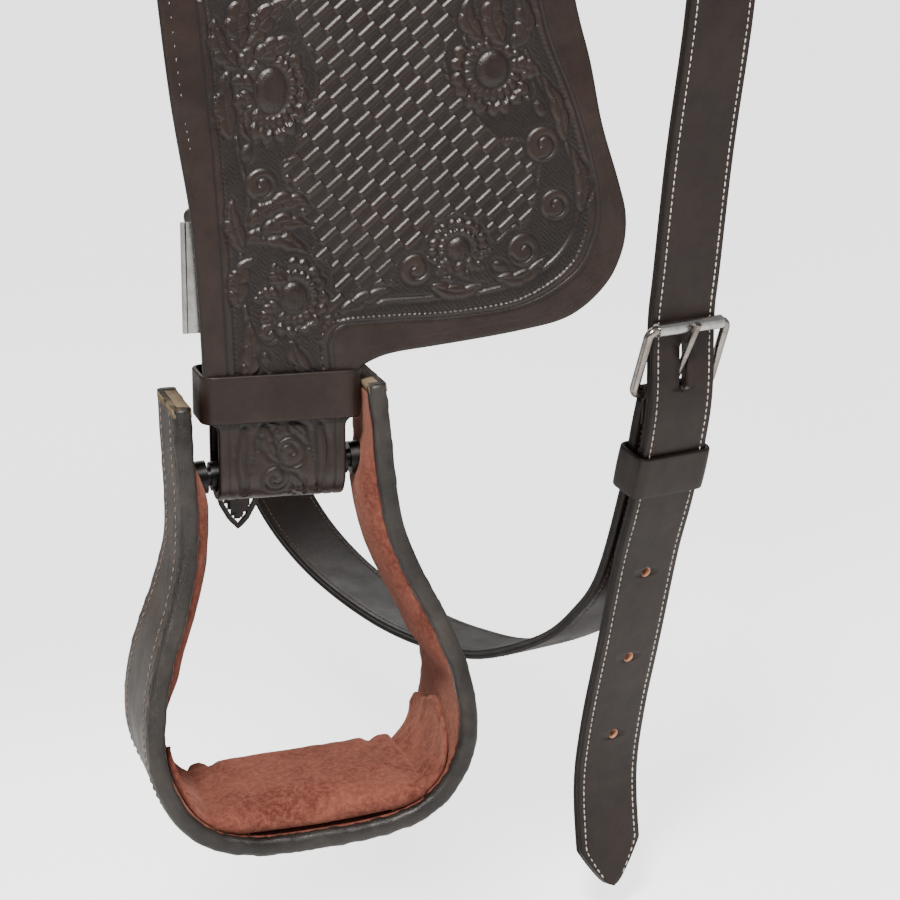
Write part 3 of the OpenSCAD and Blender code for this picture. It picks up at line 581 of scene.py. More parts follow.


# each leather's third colour is its random mottle and also the painted shade of its tooled recesses
M = {
    "tooled": leather("tooled_leather_look", (0.0121, 0.0066, 0.0050), (0.0203, 0.0112, 0.0086),
                      (0.0043, 0.0024, 0.0019),
                      (0.0069, 0.0037, 0.0027), rough=0.36, creases=0.35, coat=0.3),
    "strap": leather("strap_leather_look", (0.0134, 0.0073, 0.0057), (0.0225, 0.0127, 0.0100),
                     (0.0060, 0.0034, 0.0026),
                     (0.0056, 0.0030, 0.0022), rough=0.43, grain=0.7),
    "cover": leather("stirrup_leather_look", (0.0199, 0.0143, 0.0108), (0.0439, 0.0321, 0.0236),
                     (0.0087, 0.0057, 0.0043),
                     (0.0040, 0.0026, 0.0021), rough=0.46, grain=1.6, creases=1.1, coat=0.1),
    "dark": leather("dark_leather_look", (0.0113, 0.0060, 0.0047), (0.0190, 0.0105, 0.0079),
                    (0.0048, 0.0027, 0.0021),
                    (0.0052, 0.0030, 0.0022), rough=0.44),
    "seat": leather("seat_leather_look", (0.0130, 0.0067, 0.0052), (0.0238, 0.0131, 0.0096),
                    (0.0056, 0.0030, 0.0024),
                    (0.0052, 0.0030, 0.0022), rough=0.36, coat=0.2),
    "rim": leather("burnished_rim_look", (0.0077, 0.0061, 0.0054), (0.0383, 0.0324, 0.0279),
                   (0.0027, 0.0023, 0.002),
                   (0.0054, 0.004, 0.0036), rough=0.38, grain=2.6, creases=1.4, coat=0.3),
    "raw": leather("raw_edge_look", (0.16, 0.12, 0.076), (0.272, 0.216, 0.144), (0.056, 0.04, 0.028),
                   (0.136, 0.104, 0.068),
                   rough=0.8, grain=2.0, coat=0.0, spec=0.2),
    "copper": leather("punched_hole_look", (0.36, 0.155, 0.08), (0.62, 0.33, 0.20), (0.16, 0.06, 0.03),
                      (0.36, 0.155, 0.08), rough=0.5, coat=0.2),
    "suede": suede("suede_look", (0.1599, 0.0502, 0.0345), (0.2508, 0.0909, 0.0627),
                   (0.0847, 0.0226, 0.0163)),
    "thread": thread("thread_look", (0.60, 0.56, 0.50), (0.33, 0.28, 0.23)),
    "brown_thread": thread("brown_thread_look", (0.16, 0.11, 0.08), (0.06, 0.04, 0.03)),
    "nickel": metal("nickel_look", (0.62, 0.61, 0.59), (0.28, 0.26, 0.24), 0.2),
    "dark_nickel": metal("dark_nickel_look", (0.36, 0.33, 0.31), (0.12, 0.09, 0.075), 0.24),
    "steel": metal("steel_look", (0.45, 0.45, 0.45), (0.22, 0.21, 0.2), 0.34),
    "black": metal("black_metal_look", (0.02, 0.02, 0.021), (0.05, 0.045, 0.04), 0.32),
    "fleece": fleece_material("fleece_look"),
    "wood": wood("tree_wood_look"),
}

# every CAD node that stays gets its look in its own slots
CAD_LOOK = {"rear_dees": "nickel", "front_dee": "nickel", "conchos": "nickel", "leather_buckle": "nickel",
            "flank_buckle": "dark_nickel", "flank_tongue": "dark_nickel", "flank_roller": "nickel",
            "stirrup_bolt": "black", "roller": "black", "horn_core": "steel", "ground_seat": "black",
            "tree_bars": "dark", "fork": "dark", "cantle_board": "dark", "stirrup_bow": "wood"}
for node_name, node_obj in frame["nodes"].items():
    look = CAD_LOOK.get(node_name.replace("near_", "").replace("off_", ""))
    if look:
        for part_slot in node_obj.material_slots:
            part_slot.material = M[look]
print("materials:", len(M))

# %% [markdown]
# ## Stitches
# A node group puts one small thread lump at each point, lined up with the seam. The result becomes
# a plain mesh.

# %%
def stitch_group():
    group = bpy.data.node_groups.new("Stitches", "GeometryNodeTree")
    face = group.interface
    face.new_socket("Geometry", in_out="INPUT", socket_type="NodeSocketGeometry")
    sockets = {}
    for key, kind in (("Length", "Float"), ("Thickness", "Float"), ("Jitter", "Float"), ("Seed", "Int"),
                      ("Thread", "Material")):
        sockets[key] = face.new_socket(key, in_out="INPUT", socket_type="NodeSocket" + kind).identifier
    face.new_socket("Geometry", in_out="OUTPUT", socket_type="NodeSocketGeometry")
    t = group.nodes
    link = group.links.new
    gin, gout = t.new("NodeGroupInput"), t.new("NodeGroupOutput")
    lump = t.new("GeometryNodeMeshUVSphere")
    lump.inputs["Segments"].default_value = 6
    lump.inputs["Rings"].default_value = 5
    lump.inputs["Radius"].default_value = 0.5
    size = t.new("ShaderNodeCombineXYZ")
    link(gin.outputs["Length"], size.inputs[0])
    link(gin.outputs["Thickness"], size.inputs[1])
    link(gin.outputs["Thickness"], size.inputs[2])
    along, up = t.new("GeometryNodeInputNamedAttribute"), t.new("GeometryNodeInputNamedAttribute")
    for node, key in ((along, "along"), (up, "up")):
        node.data_type = "FLOAT_VECTOR"
        node.inputs["Name"].default_value = key
    first, second = t.new("FunctionNodeAlignEulerToVector"), t.new("FunctionNodeAlignEulerToVector")
    first.axis, second.axis, second.pivot_axis = "X", "Z", "X"
    link(along.outputs[0], first.inputs["Vector"])
    link(first.outputs[0], second.inputs["Rotation"])
    link(up.outputs[0], second.inputs["Vector"])
    chance = t.new("FunctionNodeRandomValue")
    chance.data_type = "FLOAT"
    link(gin.outputs["Seed"], chance.inputs["Seed"])
    swing = t.new("ShaderNodeMath")
    swing.operation = "MULTIPLY_ADD"
    link(chance.outputs[1], swing.inputs[0])
    link(gin.outputs["Jitter"], swing.inputs[1])
    swing.inputs[2].default_value = 0.85
    on = t.new("GeometryNodeInstanceOnPoints")
    link(gin.outputs["Geometry"], on.inputs["Points"])
    link(lump.outputs["Mesh"], on.inputs["Instance"])
    link(second.outputs[0], on.inputs["Rotation"])
    grow = t.new("GeometryNodeScaleInstances")
    link(on.outputs[0], grow.inputs["Instances"])
    both = t.new("ShaderNodeVectorMath")
    both.operation = "SCALE"
    link(size.outputs[0], both.inputs[0])
    link(swing.outputs[0], both.inputs["Scale"])
    link(both.outputs[0], grow.inputs["Scale"])
    real, paint = t.new("GeometryNodeRealizeInstances"), t.new("GeometryNodeSetMaterial")
    link(grow.outputs[0], real.inputs[0])
    link(real.outputs[0], paint.inputs["Geometry"])
    link(gin.outputs["Thread"], paint.inputs["Material"])
    link(paint.outputs[0], gout.inputs[0])
    return group, sockets


STITCH, STITCH_IN = stitch_group()


def stitches(name, seams, body=None, blend=None, length=2.7, thick=0.75, material="thread", seed=1,
             jitter=0.3):
    """Thread along seams; each seam is (points, normals) in millimetres, one stitch for each point."""
    verts, along, up = [], [], []
    for pts, nor in seams:
        p = np.array(pts, float)
        d = np.gradient(p, axis=0)
        verts.append(p)
        along.append(d / np.linalg.norm(d, axis=1)[:, None])
        up.append(np.broadcast_to(np.array(nor, float), p.shape))
    obj = make(name, np.vstack(verts), [])
    for key, value in (("along", along), ("up", up)):
        obj.data.attributes.new(key, "FLOAT_VECTOR", "POINT").data.foreach_set(
            "vector", np.vstack(value).astype(np.float32).ravel())
    mod = obj.modifiers.new("Stitches", "NODES")
    mod.node_group = STITCH
    for key, value in (("Length", length * MM), ("Thickness", thick * MM), ("Jitter", jitter), ("Seed", seed),
                       ("Thread", M[material])):
        mod[STITCH_IN[key]] = value
    bpy.context.view_layer.update()
    me = bpy.data.meshes.new_from_object(obj.evaluated_get(bpy.context.evaluated_depsgraph_get()))
    obj.modifiers.clear()
    old = obj.data
    obj.data = me
    bpy.data.meshes.remove(old)
    return finish(obj, M[material], body, blend)


def seam_points(line, pitch, closed=False):
    """Stitch places along a line of millimetre points."""
    return resample(line, pitch, closed)


print("stitch group ready")

# %% [markdown]
# ## Where the fenders lie
# The side of the saddle is a cylinder down to its axis and flat below, and the fender turns to the front
# as it hangs.

# %%
def fender_surface(s):
    """Points and outward normals of one fender's middle; s is -1 on the near side."""
    def at(ab):
        u, z = ab[:, 0], ab[:, 1]
        t = fender_turn * smooth((-120 - z) / 210)
        y = np.where(z > axis_z, np.sqrt(np.maximum(fender_mid**2 - (z - axis_z)**2, 1.0)), fender_mid)
        return np.stack([u * np.cos(t), s * (y + u * np.sin(t)), z], axis=1)

    def surf(ab):
        e = 0.4
        du = at(ab + [e, 0]) - at(ab - [e, 0])
        dz = at(ab - [0, e]) - at(ab + [0, e])
        nor = np.cross(dz, du)
        nor /= np.linalg.norm(nor, axis=1)[:, None]
        return at(ab), np.where((nor[:, 1] * s < 0)[:, None], -nor, nor)
    return surf


def leg_point(s, x, y, z):
    """A point of the leg's own frame: x across, y outwards, z up."""
    c, n = math.cos(fender_turn), math.sin(fender_turn)
    x, y, z = np.broadcast_arrays(*(np.asarray(a, float) for a in (x, y, z)))
    return np.stack([x * c - y * n, s * (fender_mid + x * n + y * c), z], axis=-1)


def leg_dir(s, x, y, z=0.0):
    c, n = math.cos(fender_turn), math.sin(fender_turn)
    return np.array([x * c - y * n, s * (x * n + y * c), z])


def leg_blend(side, s):
    return (f"{side}_panel", f"{side}_leg_end", (0, s * fender_mid * MM, -0.33),
            (0, s * fender_mid * MM, -0.5))

# %% [markdown]
# ## Tooling
# A carver cuts each shape's edge, presses the ground down beside it and leaves the shape standing.
# `Tooling` does the same to a grid of points: shapes are painted one over another, as heights and as painted
# shade in the cuts and the sunken ground.

# %%
LEAF_GAIN = 1.35  # leaves are drawn this much wider than listed, so that they fill the ground


class Tooling:
    def __init__(self, pts):
        self.p = np.asarray(pts, float)
        self.h = np.zeros(len(self.p))
        # dark holds painted shade: how much the colour is darkened in the cuts, grooves and sunken ground; it
        # becomes the tool attribute
        self.dark = np.zeros(len(self.p))

    def near(self, low, high, reach=3.0):
        above = self.p > np.min([low, high], 0) - reach
        below = self.p < np.max([low, high], 0) + reach
        return np.nonzero(np.all(above & below, axis=1))[0]

    def shape(self, idx, e, depth=0.95, soft=1.3, crown=0.0, bevel=1.8):
        """Raises the points where e, the distance inside an outline, is positive, and sinks a bevel
        round them."""
        h = self.h[idx]
        ground = -depth * (1 - 0.5 * smooth(-e / bevel))
        h = np.where((e <= 0) & (e > -bevel), np.minimum(h, ground), h)
        top = -depth * (1 - smooth(e / soft)) + crown * smooth(e / (3 * soft))
        self.h[idx] = np.where(e > 0, top, h)
        # painted shade along the cut outline
        edge = np.clip(1 - np.abs(e + 0.3) / 1.1, 0, 1)
        self.dark[idx] = np.where(e > 0, edge, np.maximum(self.dark[idx], edge))

    def groove(self, line, depth=0.5, width=0.5, closed=False):
        idx = self.near(np.min(line, 0), np.max(line, 0))
        if len(idx):
            d = line_distance(self.p[idx], line, closed)
            cut = np.exp(-(d / width)**2)
            self.h[idx] -= depth * cut
            # painted shade in the groove
            self.dark[idx] = np.maximum(self.dark[idx], cut)

    def along(self, line):
        """Nearest distance to a line, how far along it, and which side, for the points close to it."""
        q = np.array(line, float)
        idx = self.near(q.min(0), q.max(0), 16)
        pts = self.p[idx]
        seg = np.linalg.norm(np.diff(q, axis=0), axis=1)
        total = np.concatenate([[0], np.cumsum(seg)])
        best, s, side = np.full(len(pts), 1e9), np.zeros(len(pts)), np.zeros(len(pts))
        for k, (a, b) in enumerate(zip(q[:-1], q[1:])):
            d = b - a
            t = np.clip(((pts - a) @ d) / (d @ d), 0, 1)
            v = pts - a - t[:, None] * d
            dist = np.einsum("ij,ij->i", v, v)
            hit = dist < best
            best[hit] = dist[hit]
            s[hit] = (total[k] + t[hit] * seg[k]) / total[-1]
            side[hit] = np.sign(d[0] * v[hit, 1] - d[1] * v[hit, 0])
        return idx, np.sqrt(best), s, side, total[-1]

    def leaf(self, points, width, lobes=0, lean=0.5, vein=True, point=0.75):
        """A leaf on a curved spine; lobes cut its edge, and a vein runs to each lobe."""
        line = catmull(points, 6)
        width = LEAF_GAIN * width
        idx, d, s, side, length = self.along(line)
        if not len(idx):
            return
        w = width / 2 * np.sin(np.pi * np.clip(s, 0, 1)**point)**0.8
        phase = lobes * s - lean * d / max(width, 1) + 0.25 * side
        if lobes:
            w = w * (0.66 + 0.34 * np.abs(np.sin(np.pi * phase))**0.6)
        end = (s <= 0.001) | (s >= 0.999)
        e = np.where(end, -d, w - d)
        self.shape(idx, e, crown=0.12)
        if vein:
            cut = np.exp(-(d / 0.42)**2) * (s < 0.86)
            if lobes:
                f = phase - np.round(phase)
                cut = np.maximum(cut, np.exp(-(f * length / lobes / 0.5)**2) * (d < 0.8 * w) * 0.8)
            cut = np.where(e > 0.2, cut, 0)
            self.h[idx] -= 0.42 * cut
            # painted shade in the vein cuts
            self.dark[idx] = np.maximum(self.dark[idx], 0.7 * cut)

    def stem(self, points, width=2.4, end=1.2):
        idx, d, s, side, length = self.along(catmull(points, 8))
        if len(idx):
            self.shape(idx, (width + (end - width) * s) / 2 - d, soft=0.8)

    def curl(self, c, r, start, hand, turns=0.85):
        """A scroll that winds in towards its middle."""
        t = np.linspace(0, 1, 40)
        ang = math.radians(start) + hand * t * turns * 2 * np.pi
        rad = r * (0.82 - 0.62 * t)
        line = np.array(c) + np.stack([rad * np.cos(ang), rad * np.sin(ang)], axis=1)
        idx = self.near(np.array(c) - r, np.array(c) + r, 2.5)
        if not len(idx):
            return
        q = self.p[idx] - c
        self.shape(idx, r - np.hypot(q[:, 0], q[:, 1]), depth=0.85, soft=1.2)
        self.groove(line, 0.95, 0.7)

    def oval(self, c, rx, ry, angle=0.0, hatch=0.0, crown=0.5, depth=0.95):
        idx = self.near(np.array(c) - max(rx, ry), np.array(c) + max(rx, ry), 3)
        if not len(idx):
            return
        a = math.radians(angle)
        q = self.p[idx] - c
        x, y = q[:, 0] * math.cos(a) + q[:, 1] * math.sin(a), -q[:, 0] * math.sin(a) + q[:, 1] * math.cos(a)
        rho = np.hypot(x / rx, y / ry)
        e = (1 - rho) * min(rx, ry)
        self.shape(idx, e, depth=depth, crown=crown)
        if hatch:
            for v in (x + y, x - y):
                f = v / hatch - np.round(v / hatch)
                cut = np.exp(-(f * hatch / 0.36)**2) * (e > 0.5)
                self.h[idx] -= 0.38 * cut
                # painted shade in the hatching
                self.dark[idx] = np.maximum(self.dark[idx], 0.6 * cut)

    def flower(self, c, rx, ry, face, spread=230, petals=5, rays=13, ray=1.75, petal=2.5):
        """Leaves behind, broad petals with notched ends, a ring of small rays, and a hatched dome
        in the middle."""
        size = min(rx, ry)
        for turn, bend in ((112, -1), (145, -1), (180, 1), (214, 1), (248, 1)):
            b = math.radians(face + turn)
            d, n = np.array([math.cos(b), math.sin(b)]), np.array([-math.sin(b), math.cos(b)]) * bend
            self.leaf([c + size * d, c + size * (1.9 * d + 0.25 * n), c + size * (2.9 * d + 0.7 * n)],
                      size * 1.1, 4)
        idx = self.near(np.array(c) - max(rx, ry) * petal, np.array(c) + max(rx, ry) * petal, 3)
        if len(idx):
            q = (self.p[idx] - c) / [rx, ry]
            rho, ang = np.hypot(q[:, 0], q[:, 1]), np.degrees(np.arctan2(q[:, 1], q[:, 0]))
            turn = (ang - face + 180) % 360 - 180
            g = ((turn / spread + 0.5) * petals) % 1
            outer = petal * (0.78 + 0.28 * np.sin(np.pi * g)**0.45 - 0.13 * np.exp(-((g - 0.5) / 0.13)**2))
            e = np.minimum((outer - rho) * size, (spread / 2 - np.abs(turn)) / 57 * rho * size)
            self.shape(idx, e, crown=0.3)
            gap = np.minimum(g, 1 - g) * spread / petals / 57 * rho * size
            cut = np.exp(-(gap / 0.5)**2) * (e > 0)
            self.h[idx] -= 0.55 * cut
            # painted shade in the grooves between the petals
            self.dark[idx] = np.maximum(self.dark[idx], 0.8 * cut)
        idx = self.near(np.array(c) - max(rx, ry) * ray, np.array(c) + max(rx, ry) * ray, 3)
        if len(idx):
            q = (self.p[idx] - c) / [rx, ry]
            rho, ang = np.hypot(q[:, 0], q[:, 1]), np.degrees(np.arctan2(q[:, 1], q[:, 0]))
            turn = (ang - face + 180) % 360 - 180
            f = (turn / (spread + 20) + 0.5) * rays
            scallop = ray * (0.93 + 0.09 * np.abs(np.sin(np.pi * f)))
            e = np.minimum((scallop - rho) * min(rx, ry),
                           ((spread + 20) / 2 - np.abs(turn)) / 57 * rho * min(rx, ry))
            self.shape(idx, e, soft=0.9)
            g = f - np.round(f)
            cut = np.exp(-(g * 1.9)**2 * 8) * (e > 0.1) * (rho > 1)
            self.h[idx] -= 0.55 * cut
            # painted shade in the grooves between the rays
            self.dark[idx] = np.maximum(self.dark[idx], 0.7 * cut)
        self.oval(c, rx, ry, 0, hatch=1.75, crown=0.9)

    def beads(self, line, pitch=2.5, r=0.62, depth=0.5):
        pts = resample(line, pitch)
        for c in pts:
            idx = self.near(c, c, r * 2.2)
            if len(idx):
                d = np.hypot(*(self.p[idx] - c).T)
                cut = np.exp(-(d / r)**2)
                self.h[idx] -= depth * cut
                # painted shade in each bead
                self.dark[idx] = np.maximum(self.dark[idx], 0.8 * cut)

    def ground(self, outline, depth=0.62):
        """The matted ground inside an outline, sunk and darkened with painted shade."""
        outline = np.array(outline, float)
        idx = self.near(outline.min(0), outline.max(0))
        if not len(idx):
            return
        sd = signed_distance(self.p[idx], outline)
        u, z = self.p[idx].T
        mat = 0.26 * np.sin(2.7 * u + 0.7 * np.sin(z)) * np.sin(2.8 * z + 0.6 * np.sin(1.3 * u))
        level = -(depth + mat) * smooth(-sd / 1.2)
        self.h[idx] = np.where(sd < 0, level, self.h[idx])
        # painted shade over the sunken ground
        self.dark[idx] = np.where(sd < 0, 0.75 * smooth(-sd / 1.0), self.dark[idx])

    def weave(self, outline, angle=41.0, pitch=4.2, period=19.0, bar=11.5):
        """A basket stamp: raised bars in rows, with a hatched gap between them."""
        outline = np.array(outline, float)
        idx = self.near(outline.min(0), outline.max(0))
        if not len(idx):
            return
        sd = signed_distance(self.p[idx], outline)
        a = math.radians(angle)
        u, z = self.p[idx].T
        x, y = u * math.cos(a) + z * math.sin(a), -u * math.sin(a) + z * math.cos(a)
        x = x + 0.25 * np.sin(y / 9) + 0.2 * np.sin(x / 23)
        row = np.floor(y / pitch)
        fy = (y / pitch - row) * 2 - 1
        fx = (x / period + 0.5 * (row % 2)) % 1 * period
        end = np.minimum(fx, bar - fx)
        across = (1 - np.abs(fy)) * pitch / 2
        e = np.minimum(across, end)
        raised = -0.92 + 0.92 * smooth(e / 1.15)
        lines = 0.5 - 0.5 * np.cos(2 * np.pi * (fx - bar) / 1.33)
        gap = -0.78 + 0.36 * lines * smooth(across / 0.8) - 0.25 * (1 - smooth(across / 0.6))
        h = np.where(end > 0, raised, gap)
        fade = smooth(-sd / 1.0)
        self.h[idx] = np.where(sd < 0, h * fade, self.h[idx])
        # painted shade, stronger where the stamp is lower
        self.dark[idx] = np.where(sd < 0, np.clip(-h * 1.1, 0, 1) * 0.8 * fade, self.dark[idx])


# %% [markdown]
# ### The fender's pattern
# A plain strip runs round the edge. Inside it, flowers and scrolls frame a basket weave.
# u is the distance behind the leg's middle and the second number is the height.

# %%
EDGE = ([(-37, -508), (-38.6, -465), (-41.5, -426), (-49.4, -373), (-54, -328), (-58.5, -280), (-61, -220),
         (-61, -150),
         (-58, -97), (-56, -76)], [(92, -76), (94, -97), (106, -150), (120, -220), (132, -280), (142.5, -332),
        (150, -360), (156, -389), (165, -418), (169, -435), (167.5, -451.5), (159, -468), (142, -482),
        (117, -488),
        (77, -493), (55, -495.4), (45, -498), (38, -502), (36.5, -508)])
FENDER_OUTLINE = np.vstack([catmull(EDGE[0], 8), catmull(EDGE[1], 8)])
LINE_RIGHT = catmull([(24, -509), (23.2, -496), (22.7, -487.5), (26.5, -481.5), (33.3, -479.7),
                      (57.5, -479.2), (88, -478.8),
                      (119, -474.3), (142.4, -461), (151.6, -444.8), (153.7, -426.8), (149.6, -405.7),
                      (139.9, -375.8),
                      (125.8, -339), (116, -280), (104, -220), (91, -150), (80, -80)], 8)
LINE_LEFT = catmull([(-25.3, -509), (-27.4, -450), (-29.9, -408), (-32.7, -371), (-36, -333), (-43, -280),
                     (-46, -220),
                     (-46, -150), (-43, -80)], 8)
WEAVE = np.vstack([LINE_LEFT[::-1] + [2.6, 0], LINE_RIGHT + [-2.6, 1.4]])
LEFT_FLORAL = np.vstack([LINE_LEFT[::-1] + [2.6, 0], catmull([
    (21, -509), (18, -490), (22, -477), (25, -468), (24, -452), (16, -447), (18, -440), (14, -432), (8, -420),
    (4, -412), (2, -404), (8, -400), (13, -385), (19, -372), (18, -358), (12, -345), (6, -330), (0, -312),
    (-10, -296),
    (-14, -270), (-12, -250), (-18, -228), (-24, -190), (-22, -160), (-26, -130), (-26, -80)], 5)])
RIGHT_FLORAL = np.vstack([catmull([
    (64, -80), (68, -130), (78, -170), (80, -200), (86, -230), (82, -256), (92, -290), (98, -330),
    (84, -345), (79, -355),
    (81, -367), (88, -378), (97, -388), (106, -396), (118, -397), (125, -405), (124, -420), (119, -436),
    (111, -438),
    (104, -444), (98, -436), (85, -430), (73, -436), (68, -446), (58, -448), (52, -462), (40, -466),
    (26, -474)], 5),
    (LINE_RIGHT + [-2.6, 1.4])[32:]])


def fender_tooling(ab):
    """Height and painted shade of the fender's tooling at each point."""
    t = Tooling(ab)
    t.weave(WEAVE)
    t.ground(LEFT_FLORAL)
    t.ground(RIGHT_FLORAL)
    # left side, from the bottom up
    t.stem([(-2, -509), (-12, -490), (-17, -468), (-18, -445), (-14, -420), (-18, -400), (-20, -380),
            (-14, -362)], 2.8, 2.0)
    t.leaf([(-18, -506), (-14, -494), (-15, -476)], 8, 3)
    t.leaf([(16, -507), (8, -497), (4, -484)], 7, 2)
    t.curl((-5, -483), 5.5, 200, 1)
    t.oval((-7, -495), 2.6, 4.4, 20, hatch=1.5)
    t.flower((6.5, -466.5), 6.6, 7.6, -12, petals=5, rays=13)
    t.leaf([(-20, -470), (-19, -455), (-12, -446)], 8, 3)
    t.leaf([(-16.6, -440), (-6, -436), (4, -440), (14, -446)], 8.5, 4)
    t.leaf([(-14, -432), (-4, -424), (8, -421), (15, -424)], 9, 4)
    t.leaf([(-17, -444), (-22, -430), (-22, -418)], 7, 3)
    t.leaf([(-8, -436), (2, -431), (15, -433)], 7, 3)
    t.curl((-8, -413), 7.5, 250, 1)
    t.oval((-14.5, -398), 2.8, 4.6, -10, hatch=1.5)
    t.curl((-11, -386), 7, 300, -1)
    t.flower((-3, -370), 7.5, 10.5, -18, spread=225, petals=5, rays=15, ray=1.65, petal=2.35)
    t.leaf([(-22, -392), (-25, -374), (-22, -358)], 8, 3)
    t.leaf([(-15, -360), (-12, -346), (-2, -334), (8, -328)], 10, 5)
    t.leaf([(-18, -360), (-26, -350), (-29, -336)], 8, 4)
    t.leaf([(-10, -355), (0, -350), (9, -346)], 8, 3)
    t.leaf([(-17, -352), (-18, -338), (-13, -322)], 9, 4)
    for z, hand in ((-300, 1), (-262, -1), (-212, 1), (-165, -1), (-118, 1)):
        t.stem([(-34, z - 26), (-28, z - 8), (-36, z + 14)], 2.4, 1.6)
        t.curl((-27, z - 14), 6, 90, hand)
        t.leaf([(-36, z - 16), (-32, z), (-26, z + 12)], 8, 4)
        t.leaf([(-32, z - 4), (-24, z + 4), (-20, z + 14)], 7, 3)
    t.flower((-26, -246), 6, 7, 10, petals=5, rays=11)
    # right side, from the weave's lower edge up
    t.stem([(27, -476), (48, -471), (75, -470), (105, -467), (130, -457), (143, -440), (144, -418),
            (136, -392), (124, -366),
            (112, -344)], 2.8, 2.0)
    t.leaf([(28, -475), (40, -469), (54, -464)], 6, 3)
    t.curl((65, -456), 7.5, 60, -1)
    t.oval((80.5, -462), 4.2, 2.8, 10, hatch=1.5)
    t.leaf([(72, -464), (86, -468), (100, -464)], 6, 3)
    t.flower((86, -447), 5.6, 5.6, 95, spread=200, petals=5, rays=11, petal=2.6)
    t.oval((106, -456), 4.4, 2.8, -20, hatch=1.5)
    t.curl((118, -449), 8, 200, 1)
    t.leaf([(104, -462), (118, -462), (130, -452)], 6, 3)
    t.curl((133.5, -428), 7.5, 240, 1)
    t.leaf([(146, -432), (147, -416), (141, -400)], 6, 3)
    t.curl((127, -399), 8.5, 260, 1)
    t.oval((125.5, -382), 2.8, 4.6, 25, hatch=1.5)
    t.leaf([(138, -398), (134, -380), (126, -366)], 6, 3)
    t.curl((117.5, -373), 6.5, 280, 1)
    t.flower((102.5, -363), 8, 8.6, 222, spread=235, petals=6, rays=15, ray=1.75, petal=2.55)
    t.leaf([(108, -352), (102, -340), (104, -324)], 9, 4)
    t.leaf([(112, -354), (118, -342), (114, -326)], 8, 4)
    t.leaf([(98, -350), (90, -340), (92, -328)], 7, 3)
    for k, z in enumerate((-300, -262, -212, -165, -118)):
        u = 104 + (z + 300) * -0.16
        t.stem([(u + 4, z - 26), (u - 3, z - 8), (u + 3, z + 14)], 2.4, 1.6)
        t.curl((u - 5, z - 14), 6, 90, -1 if k % 2 else 1)
        t.leaf([(u + 3, z - 16), (u, z), (u - 6, z + 12)], 8, 4)
        t.leaf([(u - 2, z - 4), (u - 10, z + 4), (u - 14, z + 12)], 7, 3)
    t.flower((97, -244), 6, 7, 170, petals=5, rays=11)
    t.groove(LINE_RIGHT, 0.75, 0.62)
    t.groove(LINE_LEFT, 0.75, 0.62)
    t.groove(LINE_RIGHT + [2.2, -1.2], 0.22, 0.4)
    t.beads(LINE_RIGHT[10:] + [-3.9, 2.2])
    t.beads(LINE_LEFT + [3.9, 0])
    return t.h, t.dark


def weathered(surf, amount=0.35, scale=0.018, seed=0.0):
    """A surface with the slow waves of real leather; back and front move together."""
    def wavy(ab):
        pos, nor = surf(ab)
        u, z = ab[:, 0] * scale + seed, ab[:, 1] * scale
        wave = (np.sin(3.1 * u + 1.7 * np.sin(2.3 * z)) * np.cos(2.7 * z + np.sin(1.9 * u))
                + 0.4 * np.sin(7.3 * u + 5.1 * z))
        return pos + nor * (amount * wave)[:, None], nor
    return wavy


def fender_bins(side):
    def key(uv, mid):
        if side == "off":
            return np.select([uv[:, 1] > -140, uv[:, 1] > -235], [0, 1], 2)
        strip = np.where(uv[:, 0] < 12, 2, np.where(uv[:, 0] < 80, 3, 4))
        return np.select([uv[:, 1] > -140, uv[:, 1] > -235], [0, 1], strip)
    return key


def hang(side, s, objs, material, replaces=None):
    """Finishes a hanging panel's three lengths, which lie over the saddle's, the fender's and the leg's
    joints, baked in place, and hides the parts they replace.
    """
    y = s * fender_mid * MM
    spans = [("saddle", f"{side}_upper", (0, y, -0.078), (0, y, -0.138)),
             (f"{side}_upper", f"{side}_panel", (0, y, -0.145), (0, y, -0.232))]
    for k, obj in enumerate(objs):
        finish(obj, material, blend=spans[k] if k < 2 else leg_blend(side, s))
    for obj, node in zip(objs, replaces or []):
        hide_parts(node)


for side, s in SIDES:
    surf = weathered(fender_surface(s), 0.4, seed=0.3 * s)
    if side == "near":
        fine = np.arange(-506, -318, 0.6)
        lines = np.concatenate([fine, np.arange(fine[-1] + 1.2, -76, 1.5)])
        data = panel(FENDER_OUTLINE, surf, leather_t, 0.6, fender_tooling, lines=lines)
        names = ["near_fender_skirt_top", "near_fender_bend", "near_fender_front", "near_fender_middle",
                 "near_fender_rear"]
    else:
        data = panel(FENDER_OUTLINE, surf, leather_t, 1.3, fender_tooling)
        names = ["off_fender_skirt_top", "off_fender_bend", "off_fender_face"]
    made = parts(names, data, fender_bins(side))
    hang(side, s, made, M["tooled"], [f"{side}_fender_top", f"{side}_fender", f"{side}_fender"])
    print(side, "fender:", len(data["faces"]), "faces")

# %% [markdown]
# ## Stirrup leather, leg and hobble strap
# The stirrup leather hangs behind the fender. The leg ends in a wrap round the roller, and the hobble
# holds both.

# %%
def strap_surface(s, line):
    """Surface along a flat path of the leg's frame: a runs across it, b along it."""
    p = np.array(line, float)
    seg = run_of(p)
    nor2 = frames_2d(p)

    def surf(ab):
        b = np.clip(ab[:, 1], 0, seg[-1])
        y, z = np.interp(b, seg, p[:, 0]), np.interp(b, seg, p[:, 1])
        ny, nz = np.interp(b, seg, nor2[:, 0]), np.interp(b, seg, nor2[:, 1])
        pos = leg_point(s, ab[:, 0], y, z)
        out = leg_point(s, ab[:, 0], y + ny, z + nz) - pos
        return pos, out / np.linalg.norm(out, axis=1)[:, None]
    return surf, seg[-1]


